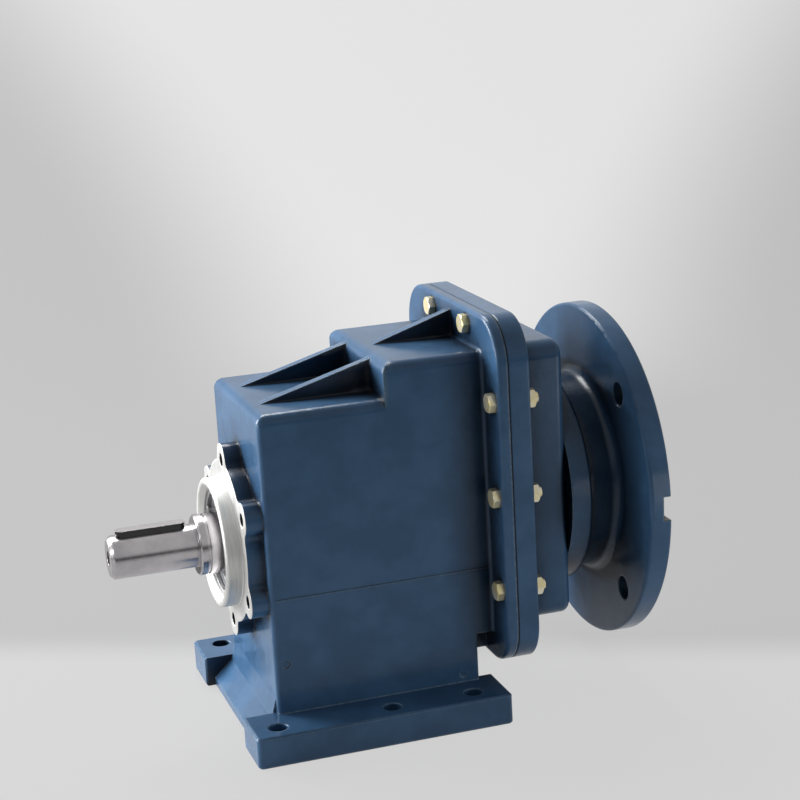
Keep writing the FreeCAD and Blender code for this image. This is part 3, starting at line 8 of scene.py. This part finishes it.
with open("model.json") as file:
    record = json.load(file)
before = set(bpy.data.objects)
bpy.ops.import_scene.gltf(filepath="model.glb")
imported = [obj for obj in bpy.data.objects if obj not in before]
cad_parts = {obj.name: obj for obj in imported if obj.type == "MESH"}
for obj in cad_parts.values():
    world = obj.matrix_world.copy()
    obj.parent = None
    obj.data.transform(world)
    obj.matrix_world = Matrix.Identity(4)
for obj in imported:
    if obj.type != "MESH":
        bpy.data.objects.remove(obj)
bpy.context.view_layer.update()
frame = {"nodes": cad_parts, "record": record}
nodes = frame["nodes"]
record = frame["record"]
mounts = {mount["name"]: mount for mount in record["mounts"]}
outputAxis = mounts["output_pad_bolts"]["pos_m"]  # centre of the pad round the output shaft
inputAxis = mounts["motor_flange_bolts"]["pos_m"]  # centre of the face the motor bolts to
print("frame: %d nodes" % len(nodes))


# shared node helpers

shading = {
    "samples": 6,  # rays per point for soft edges and dark corners
    "edgeTurn": (0.985, 0.80),  # cosine of the normal's turn where an edge starts and is full
    "patchSpan": (0.35, 0.68),  # noise levels that blend two colours
    "grainSpan": (0.3, 0.7),  # noise levels that set the roughness
}


def addNode(tree, kind, inputs=None, **settings):
    made = tree.nodes.new("ShaderNode" + kind)
    for key, value in settings.items():
        setattr(made, key, value)
    for key, value in (inputs or {}).items():
        if isinstance(value, bpy.types.NodeSocket):
            tree.links.new(value, made.inputs[key])
        else:
            made.inputs[key].default_value = value
    return made


def startMaterial(name, metallic=0.0):
    material = bpy.data.materials.new(name)
    material.use_nodes = True
    tree = material.node_tree
    shader = tree.nodes["Principled BSDF"]
    shader.inputs["Metallic"].default_value = metallic
    return material, tree, shader


def coords(tree, centre=(0, 0, 0), scale=(1, 1, 1)):
    place = addNode(tree, "TexCoord").outputs["Object"]
    shift = tuple(-c * s for c, s in zip(centre, scale))
    return addNode(tree, "Mapping", {"Vector": place, "Location": shift, "Scale": scale}).outputs["Vector"]


def turnedCoords(tree, degrees):
    place = addNode(tree, "TexCoord").outputs["Object"]
    turn = (0, 0, math.radians(degrees))
    return addNode(tree, "Mapping", {"Vector": place, "Rotation": turn}).outputs["Vector"]


def axesOf(tree, vector):
    return addNode(tree, "SeparateXYZ", {"Vector": vector}).outputs


def lengthOf(tree, vector):
    return addNode(tree, "VectorMath", {0: vector}, operation="LENGTH").outputs["Value"]


def noise(tree, vector, scale, detail=3.0, roughness=0.55):
    values = {"Vector": vector, "Scale": scale, "Detail": detail, "Roughness": roughness}
    return addNode(tree, "TexNoise", values).outputs["Fac"]


def spread(tree, value, low, high, toLow=0.0, toHigh=1.0):
    values = {"Value": value, "From Min": low, "From Max": high, "To Min": toLow, "To Max": toHigh}
    return addNode(tree, "MapRange", values, interpolation_type="SMOOTHSTEP").outputs["Result"]


def math2(tree, operation, a, b):
    return addNode(tree, "Math", {0: a, 1: b}, operation=operation).outputs[0]


def blendColour(tree, factor, a, b):
    sockets = {0: factor, 6: a if hasattr(a, "node") else (*a, 1), 7: b if hasattr(b, "node") else (*b, 1)}
    return addNode(tree, "Mix", sockets, data_type="RGBA").outputs[2]


def blendValue(tree, factor, a, b):
    return addNode(tree, "Mix", {0: factor, 2: a, 3: b}, data_type="FLOAT").outputs[0]


def blendNormal(tree, factor, a, b):
    return addNode(tree, "Mix", {0: factor, 4: a, 5: b}, data_type="VECTOR").outputs[1]


def bump(tree, height, depth, normal=None, strength=0.5):
    values = {"Height": height, "Distance": depth, "Strength": strength}
    if normal is not None:
        values["Normal"] = normal
    return addNode(tree, "Bump", values).outputs["Normal"]


def softEdge(tree, radius):  # rounded normal, and a mask that is 1 on the edge itself
    rounded = addNode(tree, "Bevel", {"Radius": radius}, samples=shading["samples"]).outputs["Normal"]
    flat = addNode(tree, "NewGeometry").outputs["Normal"]
    facing = addNode(tree, "VectorMath", {0: rounded, 1: flat}, operation="DOT_PRODUCT").outputs["Value"]
    return rounded, spread(tree, facing, *shading["edgeTurn"])


def grainRoughness(tree, grain, roughness):
    return spread(tree, grain, *shading["grainSpan"], *roughness)


def connect(tree, shader, colour, roughness, normal):
    tree.links.new(colour, shader.inputs["Base Color"])
    tree.links.new(roughness, shader.inputs["Roughness"])
    tree.links.new(normal, shader.inputs["Normal"])


def wear(material, *names):
    for name in names:
        slots = nodes[name].data.materials
        slots.clear()
        slots.append(material)


# dark blue paint on the castings, bare aluminium where they are machined

bluePaint = {
    "colour": (0.062, 0.148, 0.284),
    "deep": (0.049, 0.120, 0.234),
    "rubbed": (0.300, 0.420, 0.520),  # worn paint on the edges, made lighter as a painted highlight
    "chipSpan": (0.38, 0.62),  # grain levels between which an edge gets the worn paint and painted highlight
    "chipShare": (0.45, 1.0),
    "roughness": (0.15, 0.26),
    "gloss": 0.26,
    "castGrain": 520.0,
    "castDepth": 0.00006,
    "swell": 45.0,
    "swellDepth": 0.0006,
    "edgeRadius": 0.0016,
    "stepRadius": 0.0050,  # rounder where the top deck steps up
    "stepCentre": (0.020, 0.0, 0.201),
    "stepReach": (0.016, 0.012),
    "grime": (0.006, 0.013, 0.026),  # painted shade in closed corners
    "grimeReach": {  # how far the painted shade reaches into a corner, near the axis and off it
        "casePaint": (0.030, 0.030),
        "coverPaint": (0.030, 0.030),
        "flangePaint": (0.050, 0.013),
    },
    "neckEdge": (0.050, 0.070),  # height off the axis where the flange leaves its zone of painted shadow
    "neckShape": (0, 0.3, 1),  # the zone is a flat ellipse, wider than high
    "grimeOpen": (0.90, 0.54),  # share of open sky where the painted shade starts and is full
    "grimeFloor": (0.020, 0.045),  # no painted shade on the feet
    "farFoot": (0.030, 0.045),  # but for the inner side of the far one
    "inward": (-0.3, -0.8),  # slope of that side
}
bareAluminium = {
    "colour": (0.70, 0.70, 0.685),
    "streak": (0.61, 0.61, 0.595),
    "streakScale": (900, 60, 60),
    "streakSpan": (0.35, 0.7),
    # worn bright machined edges, brightened further as a painted highlight
    "edge": (0.97, 0.97, 0.96),
    "roughness": (0.46, 0.56),
    "toolMarks": 420.0,
    "toolWaver": 0.6,
    "toolDepth": 0.000012,
    "tolerance": 0.0002,
    "padFrom": 0.4,  # share of the axis height, above the feet
}


# painted shade: darker in closed corners and in a zone round the flange's neck, none on the feet
def paintedCornerShade(tree, centre, reaches):
    p = bluePaint
    offAxis = lengthOf(tree, coords(tree, centre, p["neckShape"]))
    reach = spread(tree, offAxis, *p["neckEdge"], *reaches)
    corner = addNode(tree, "AmbientOcclusion", {"Distance": reach}, samples=shading["samples"])
    closed = spread(tree, corner.outputs["AO"], *p["grimeOpen"])
    _, depth, height = axesOf(tree, coords(tree))
    slope = axesOf(tree, addNode(tree, "TexCoord").outputs["Normal"])["Y"]
    inward = math2(tree, "MULTIPLY", spread(tree, slope, *p["inward"]), spread(tree, depth, *p["farFoot"]))
    shadeGate = math2(tree, "MAXIMUM", inward, spread(tree, height, *p["grimeFloor"]))
    return math2(tree, "MULTIPLY", closed, shadeGate)


def turnedMetal(tree, centre, rounded, edge):
    m = bareAluminium
    values = {"Vector": coords(tree, centre), "Scale": m["toolMarks"], "Distortion": m["toolWaver"]}
    rings = addNode(tree, "TexWave", values, wave_type="RINGS", rings_direction="X").outputs["Fac"]
    streak = noise(tree, coords(tree, centre, m["streakScale"]), 1.0, detail=4.0)
    colour = blendColour(tree, spread(tree, streak, *m["streakSpan"]), m["streak"], m["colour"])
    # painted highlight on the machined edges
    colour = blendColour(tree, edge, colour, m["edge"])
    normal = bump(tree, rings, m["toolDepth"], rounded, strength=0.4)
    return colour, grainRoughness(tree, streak, m["roughness"]), normal


def castingPaint(name, bare=None, centre=(0, 0, 0)):
    p = bluePaint
    material, tree, shader = startMaterial(name)
    shader.inputs["Specular IOR Level"].default_value = p["gloss"]
    beside = lengthOf(tree, coords(tree, p["stepCentre"], (1, 0, 1)))
    rounded, edge = softEdge(tree, spread(tree, beside, *p["stepReach"], p["edgeRadius"], p["stepRadius"]))
    grain = noise(tree, coords(tree), p["castGrain"], detail=2.0)
    cloud = noise(tree, coords(tree), p["swell"])
    colour = blendColour(tree, spread(tree, cloud, *shading["patchSpan"]), p["deep"], p["colour"])
    # edges lightened as worn paint and as a painted highlight
    wornAndHighlitEdge = math2(tree, "MULTIPLY", edge, spread(tree, grain, *p["chipSpan"], *p["chipShare"]))
    colour = blendColour(tree, wornAndHighlitEdge, colour, p["rubbed"])
    # painted shade in the corners
    colour = blendColour(tree, paintedCornerShade(tree, centre, p["grimeReach"][name]), colour, p["grime"])
    roughness = grainRoughness(tree, grain, p["roughness"])
    normal = bump(tree, cloud, p["swellDepth"], rounded)
    normal = bump(tree, grain, p["castDepth"], normal, strength=0.6)
    if bare is not None:
        mask = bare(tree)
        metal, dull, turned = turnedMetal(tree, centre, rounded, edge)
        colour = blendColour(tree, mask, colour, metal)
        roughness = blendValue(tree, mask, roughness, dull)
        normal = blendNormal(tree, mask, normal, turned)
        tree.links.new(mask, shader.inputs["Metallic"])
    connect(tree, shader, colour, roughness, normal)
    return material


def caseBare(tree):  # pad face, spigot and the soles of the feet
    m = bareAluminium
    x, _, z = axesOf(tree, coords(tree))
    ahead = math2(tree, "LESS_THAN", x, outputAxis[0] + m["tolerance"])
    aboveFeet = math2(tree, "GREATER_THAN", z, outputAxis[2] * m["padFrom"])
    sole = math2(tree, "LESS_THAN", z, m["tolerance"])
    return math2(tree, "MAXIMUM", math2(tree, "MULTIPLY", ahead, aboveFeet), sole)


def flangeBare(tree):  # the face and register that meet the motor
    x = axesOf(tree, coords(tree))["X"]
    return math2(tree, "GREATER_THAN", x, inputAxis[0] - bareAluminium["tolerance"])


wear(castingPaint("casePaint", caseBare, outputAxis), "gear_case")
wear(castingPaint("flangePaint", flangeBare, inputAxis), "motor_flange")
wear(castingPaint("coverPaint"), "input_cover")
print("castings painted")


# metals

metals = {
    "yellow_zinc": {
        "colour": (1.00, 0.85, 0.42), "tint": (1.00, 0.95, 0.76), "roughness": (0.12, 0.24),
        "grain": (300, 300, 300), "cloud": 160.0, "depth": 0.000002, "edgeRadius": 0.0002,
        "metallic": 0.4,  # its coat is paler than a bare metal
    },
    "black_oxide": {
        "colour": (0.035, 0.035, 0.038), "tint": (0.075, 0.072, 0.07), "roughness": (0.30, 0.48),
        "grain": (900, 900, 900), "cloud": 220.0, "depth": 0.00002, "edgeRadius": 0.0003,
    },
    "plug_steel": {
        "colour": (0.60, 0.60, 0.58), "tint": (0.50, 0.51, 0.53), "roughness": (0.26, 0.42),
        "grain": (700, 700, 700), "cloud": 180.0, "depth": 0.00002, "edgeRadius": 0.0004,
    },
    "copper_washer": {
        "colour": (0.70, 0.36, 0.22), "tint": (0.48, 0.24, 0.15), "roughness": (0.28, 0.46),
        "grain": (600, 600, 600), "cloud": 240.0, "depth": 0.00002, "edgeRadius": 0.0002,
    },
    "ground_steel": {
        "colour": (0.54, 0.515, 0.53), "tint": (0.43, 0.41, 0.425), "roughness": (0.15, 0.27),
        "grain": (2600, 40, 40), "cloud": 60.0, "depth": 0.000008, "edgeRadius": 0.0004,
    },
    "spring_steel": {
        "colour": (0.46, 0.46, 0.46), "tint": (0.34, 0.34, 0.35), "roughness": (0.28, 0.44),
        "grain": (800, 800, 800), "cloud": 260.0, "depth": 0.000015, "edgeRadius": 0.0003,
    },
    "gear_steel": {
        "colour": (0.46, 0.46, 0.47), "tint": (0.34, 0.33, 0.32), "roughness": (0.22, 0.38),
        "grain": (1600, 120, 120), "cloud": 90.0, "depth": 0.00001, "edgeRadius": 0.0003,
    },
    "cage_steel": {
        "colour": (0.52, 0.50, 0.46), "tint": (0.40, 0.38, 0.35), "roughness": (0.30, 0.46),
        "grain": (900, 900, 900), "cloud": 200.0, "depth": 0.000012, "edgeRadius": 0.0002,
    },
    "bearing_steel": {
        "colour": (0.66, 0.66, 0.67), "tint": (0.56, 0.56, 0.58), "roughness": (0.10, 0.22),
        "grain": (2200, 60, 60), "cloud": 80.0, "depth": 0.000004, "edgeRadius": 0.0003,
    },
}
edgeGain = 1.25  # how much brighter a metal is on its edges


def metalFinish(name, style):
    material, tree, shader = startMaterial(name, style.get("metallic", 1.0))
    rounded, edge = softEdge(tree, style["edgeRadius"])
    grain = noise(tree, coords(tree, scale=style["grain"]), 1.0)
    cloud = noise(tree, coords(tree), style["cloud"])
    colour = blendColour(tree, spread(tree, cloud, *shading["patchSpan"]), style["tint"], style["colour"])
    bright = tuple(min(1.0, c * edgeGain) for c in style["colour"])
    colour = blendColour(tree, math2(tree, "MULTIPLY", edge, grain), colour, bright)
    roughness = grainRoughness(tree, grain, style["roughness"])
    connect(tree, shader, colour, roughness, bump(tree, grain, style["depth"], rounded))
    return material


# rubber lips and the paper gasket

softFinishes = {
    "seal_rubber": {
        "colour": (0.030, 0.030, 0.032), "tint": (0.045, 0.044, 0.043), "roughness": (0.50, 0.68),
        "grain": 900.0, "span": (0.35, 0.65), "depth": 0.00003,
    },
    "gasket_paper": {
        "colour": (0.016, 0.024, 0.036), "tint": (0.030, 0.040, 0.054), "roughness": (0.74, 0.90),
        "grain": 1400.0, "span": (0.35, 0.65), "depth": 0.00004,
    },
}


def mattGrain(tree, style):
    return noise(tree, coords(tree), style["grain"], detail=5.0, roughness=0.65)


def mattFinish(name, style):
    material, tree, shader = startMaterial(name)
    grain = mattGrain(tree, style)
    colour = blendColour(tree, spread(tree, grain, *style["span"]), style["colour"], style["tint"])
    roughness = grainRoughness(tree, grain, style["roughness"])
    connect(tree, shader, colour, roughness, bump(tree, grain, style["depth"]))
    return material


keyLitTop = {"slope": (0.5, 0.9)}  # how far a face looks up where the key's top carries its painted highlight


def keyFinish(oxide, steel):  # dark flanks as painted shade, bright top as painted highlight, worn bright edges
    material, tree, shader = startMaterial("keySteel", 1.0)
    rounded, edge = softEdge(tree, oxide["edgeRadius"])
    grain = noise(tree, coords(tree, scale=steel["grain"]), 1.0)
    facing = axesOf(tree, addNode(tree, "TexCoord").outputs["Normal"])["Z"]
    wornAndHighlitEdge = math2(tree, "MULTIPLY", edge, grain)
    rubbed = math2(tree, "MAXIMUM", spread(tree, facing, *keyLitTop["slope"]), wornAndHighlitEdge)
    dark = blendColour(tree, grain, oxide["colour"], oxide["tint"])
    bright = blendColour(tree, grain, steel["tint"], steel["colour"])
    colour = blendColour(tree, rubbed, dark, bright)
    roughness = grainRoughness(tree, grain, steel["roughness"])
    connect(tree, shader, colour, roughness, bump(tree, grain, steel["depth"], rounded))
    return material


sealCase = {
    "colour": (0.60, 0.61, 0.63),
    "tint": (0.46, 0.47, 0.49),
    "lipEdge": (0.0215, 0.0225),  # radius where the lip ends
}


def sealFinish(rubber, s):  # bright case, dark lip on the shaft
    material, tree, shader = startMaterial("sealCase")
    grain = mattGrain(tree, rubber)
    radial = lengthOf(tree, coords(tree, outputAxis, (0, 1, 1)))
    lip = blendColour(tree, grain, rubber["colour"], rubber["tint"])
    case = blendColour(tree, grain, s["tint"], s["colour"])
    colour = blendColour(tree, spread(tree, radial, *s["lipEdge"]), lip, case)
    roughness = grainRoughness(tree, grain, rubber["roughness"])
    connect(tree, shader, colour, roughness, bump(tree, grain, rubber["depth"]))
    return material


finishes = {slot: metalFinish(slot, style) for slot, style in metals.items()}
finishes.update({slot: mattFinish(slot, style) for slot, style in softFinishes.items()})
for subpart in record["subparts"]:
    if subpart["material_slot"] in finishes:
        wear(finishes[subpart["material_slot"]], subpart["node"])
wear(keyFinish(metals["black_oxide"], metals["ground_steel"]), "output_key")
wear(sealFinish(softFinishes["seal_rubber"], sealCase), "output_seal")
print("%d finishes on the small pieces" % len(finishes))


# camera

cameraSet = {
    "aim": (0.0455, 0.0, 0.1760),
    "azimuth": -17.353,
    "elevation": 14.243,
    "roll": -3.239,
    "distance": 1.1348,
    "lens": 87.75,
    "sensor": 36.0,
    "clipEnd": 30.0,
}


def lookFrom(c):
    turn, lift = math.radians(c["azimuth"]), math.radians(c["elevation"])
    back = Vector((math.sin(turn) * math.cos(lift), -math.cos(turn) * math.cos(lift), math.sin(lift)))
    right = Vector((math.cos(turn), math.sin(turn), 0))
    up = back.cross(right)
    facing = Matrix((right, up, back)).transposed().to_4x4()
    roll = Matrix.Rotation(math.radians(c["roll"]), 4, "Z")
    return Matrix.Translation(Vector(c["aim"]) + back * c["distance"]) @ facing @ roll


camera = bpy.data.objects.new("camera", bpy.data.cameras.new("camera"))
camera.data.lens = cameraSet["lens"]
camera.data.sensor_width = cameraSet["sensor"]
camera.data.clip_end = cameraSet["clipEnd"]
camera.matrix_world = lookFrom(cameraSet)
bpy.context.scene.collection.objects.link(camera)
bpy.context.scene.camera = camera
print("camera set")


# floor that curves up into a pale wall

sweep = {
    "near": 1.6,
    "far": 1.2,
    "halfWidth": 2.6,
    "height": 1.8,
    "bend": 0.5,
    "bendSegments": 16,
    "fleck": 60.0,
    "roughness": (0.55, 0.7),
    "floorTone": (0.672, 0.672, 0.672),
    "wallTone": (0.54, 0.54, 0.54),
    "glowTone": (0.80, 0.80, 0.80),
    "seenShare": 0.91,  # part of the tone that the camera sees unlit, so the shadow stays soft
    "tableEdge": (0.045, 0.106),  # where the floor turns darker, behind the object
    "tableTurn": 8.75,  # turns that line level in the picture
    "mirrorFade": (-0.75, -0.15),  # the near floor goes dark in reflections
    "mirrorTone": (0.10, 0.10, 0.10),  # so does a band behind the object, up to the wall
    "mirrorBand": (0.08, 0.20),
    "mirrorSide": (-0.17, -0.14),  # but not beside the output shaft
    "mirrorRise": (0.30, 0.05),
    "glowCentre": 0.10,  # the glow on the wall is a cone that widens upwards
    "glowFlare": 0.81,
    "glowWidth": (0.33, 0.00),
    "glowFoot": (0.60, 0.90),
}


def makeSweep(s):
    turn = Matrix.Rotation(math.radians(cameraSet["azimuth"]), 4, "Z")
    mesh = bmesh.new()
    corners = ((-1, -s["near"]), (1, -s["near"]), (1, s["far"]), (-1, s["far"]))
    floor = mesh.faces.new([mesh.verts.new((side * s["halfWidth"], along, 0)) for side, along in corners])
    fold = [e for e in floor.edges if all(v.co.y > 0 for v in e.verts)]
    raised = bmesh.ops.extrude_edge_only(mesh, edges=fold)["geom"]
    wallTop = [g for g in raised if isinstance(g, bmesh.types.BMVert)]
    bmesh.ops.translate(mesh, vec=(0, 0, s["height"]), verts=wallTop)
    bmesh.ops.bevel(
        mesh, geom=fold, offset=s["bend"], affect="EDGES",
        segments=s["bendSegments"], profile=0.5, material=-1,
    )
    bmesh.ops.recalc_face_normals(mesh, faces=mesh.faces)
    bmesh.ops.transform(mesh, matrix=turn, verts=mesh.verts)
    data = bpy.data.meshes.new("sweep")
    mesh.to_mesh(data)
    mesh.free()
    data.polygons.foreach_set("use_smooth", [True] * len(data.polygons))
    piece = bpy.data.objects.new("sweep", data)
    bpy.context.scene.collection.objects.link(piece)
    return piece


def sweepPaint(s):
    material, tree, shader = startMaterial("sweepPaint")
    along = axesOf(tree, turnedCoords(tree, s["tableTurn"] - cameraSet["azimuth"]))["Y"]
    aside, away, height = axesOf(tree, turnedCoords(tree, -cameraSet["azimuth"]))
    # pale wall with its glow behind the floor
    offCentre = math2(tree, "ABSOLUTE", math2(tree, "SUBTRACT", aside, s["glowCentre"]), 0)
    offCone = math2(tree, "SUBTRACT", offCentre, math2(tree, "MULTIPLY", height, s["glowFlare"]))
    glow = spread(tree, offCone, *s["glowWidth"])
    glow = math2(tree, "MULTIPLY", glow, spread(tree, away, *s["glowFoot"]))
    behind = blendColour(tree, glow, s["wallTone"], s["glowTone"])
    colour = blendColour(tree, spread(tree, along, *s["tableEdge"]), s["floorTone"], behind)
    # what reflections see
    rays = addNode(tree, "LightPath").outputs
    mirrored = math2(tree, "MAXIMUM", rays["Is Glossy Ray"], rays["Is Transmission Ray"])
    band = math2(tree, "MULTIPLY", mirrored, spread(tree, along, *s["mirrorBand"]))
    band = math2(tree, "MULTIPLY", band, spread(tree, height, *s["mirrorRise"]))
    band = math2(tree, "MULTIPLY", band, spread(tree, axesOf(tree, coords(tree))["X"], *s["mirrorSide"]))
    colour = blendColour(tree, band, colour, s["mirrorTone"])
    # mostly unlit for the camera and for reflections, lit for the rest
    unlit = math2(tree, "MULTIPLY", mirrored, spread(tree, along, *s["mirrorFade"]))
    unlit = math2(tree, "MAXIMUM", rays["Is Camera Ray"], unlit)
    unlit = math2(tree, "MULTIPLY", unlit, s["seenShare"])
    plain = addNode(tree, "Emission", {"Color": colour}).outputs["Emission"]
    both = addNode(tree, "MixShader", {0: unlit, 1: shader.outputs["BSDF"], 2: plain}).outputs["Shader"]
    fleck = noise(tree, coords(tree), s["fleck"], detail=4.0)
    tree.links.new(colour, shader.inputs["Base Color"])
    tree.links.new(grainRoughness(tree, fleck, s["roughness"]), shader.inputs["Roughness"])
    tree.links.new(both, tree.nodes["Material Output"].inputs["Surface"])
    return material


sweepPiece = makeSweep(sweep)
sweepPiece.data.materials.append(sweepPaint(sweep))
print("stage set")


# light

lamps = {
    "key": {
        "place": (-1.05, 1.05, 0.62), "aim": (0.05, 0.0, 0.18),
        "size": 0.7, "spread": 180, "power": 27.0,
    },
    "top": {
        "place": (0.0, 0.75, 1.10), "aim": (0.03, 0.0, 0.15),
        "size": 0.6, "spread": 120, "power": 5.0,
    },
    "side": {
        "place": (-1.30, 0.28, 0.25), "aim": (0.0, 0.0, 0.12),
        "size": 0.5, "spread": 120, "power": 4.0,
    },
    "fill": {
        "place": (0.45, -0.50, 0.03), "aim": (0.02, -0.05, -0.06),
        "size": 0.3, "spread": 80, "power": 0.20,
    },
}
roomLight = {
    "levels": (0.04, 0.16),  # at the horizon and overhead
    "reach": (0.05, 0.85),  # height on the sky where it brightens
    "mirroredLevels": (0.08, 0.62),  # the same, as the metal reflects them
    "mirroredReach": (0.06, 0.30),
}


def addLamp(name, lamp):
    light = bpy.data.lights.new(name, "AREA")
    light.size = lamp["size"]
    light.spread = math.radians(lamp["spread"])
    light.energy = lamp["power"]
    piece = bpy.data.objects.new(name, light)
    piece.location = lamp["place"]
    piece.visible_camera = False
    piece.rotation_euler = (Vector(lamp["aim"]) - piece.location).to_track_quat("-Z", "Y").to_euler()
    bpy.context.scene.collection.objects.link(piece)


def lightRoom(r):
    world = bpy.data.worlds.new("studio")
    world.use_nodes = True
    tree = world.node_tree
    background = tree.nodes["Background"].inputs
    height = axesOf(tree, addNode(tree, "TexCoord").outputs["Generated"])["Z"]  # the way a ray points
    level = spread(tree, height, *r["reach"], *r["levels"])
    mirrored = spread(tree, height, *r["mirroredReach"], *r["mirroredLevels"])
    glossy = addNode(tree, "LightPath").outputs["Is Glossy Ray"]
    tree.links.new(blendValue(tree, glossy, level, mirrored), background["Strength"])
    background["Color"].default_value = (1, 1, 1, 1)
    bpy.context.scene.world = world


for lampName, lamp in lamps.items():
    addLamp(lampName, lamp)
lightRoom(roomLight)
bpy.context.scene.view_settings.view_transform = "Standard"
print("lit")
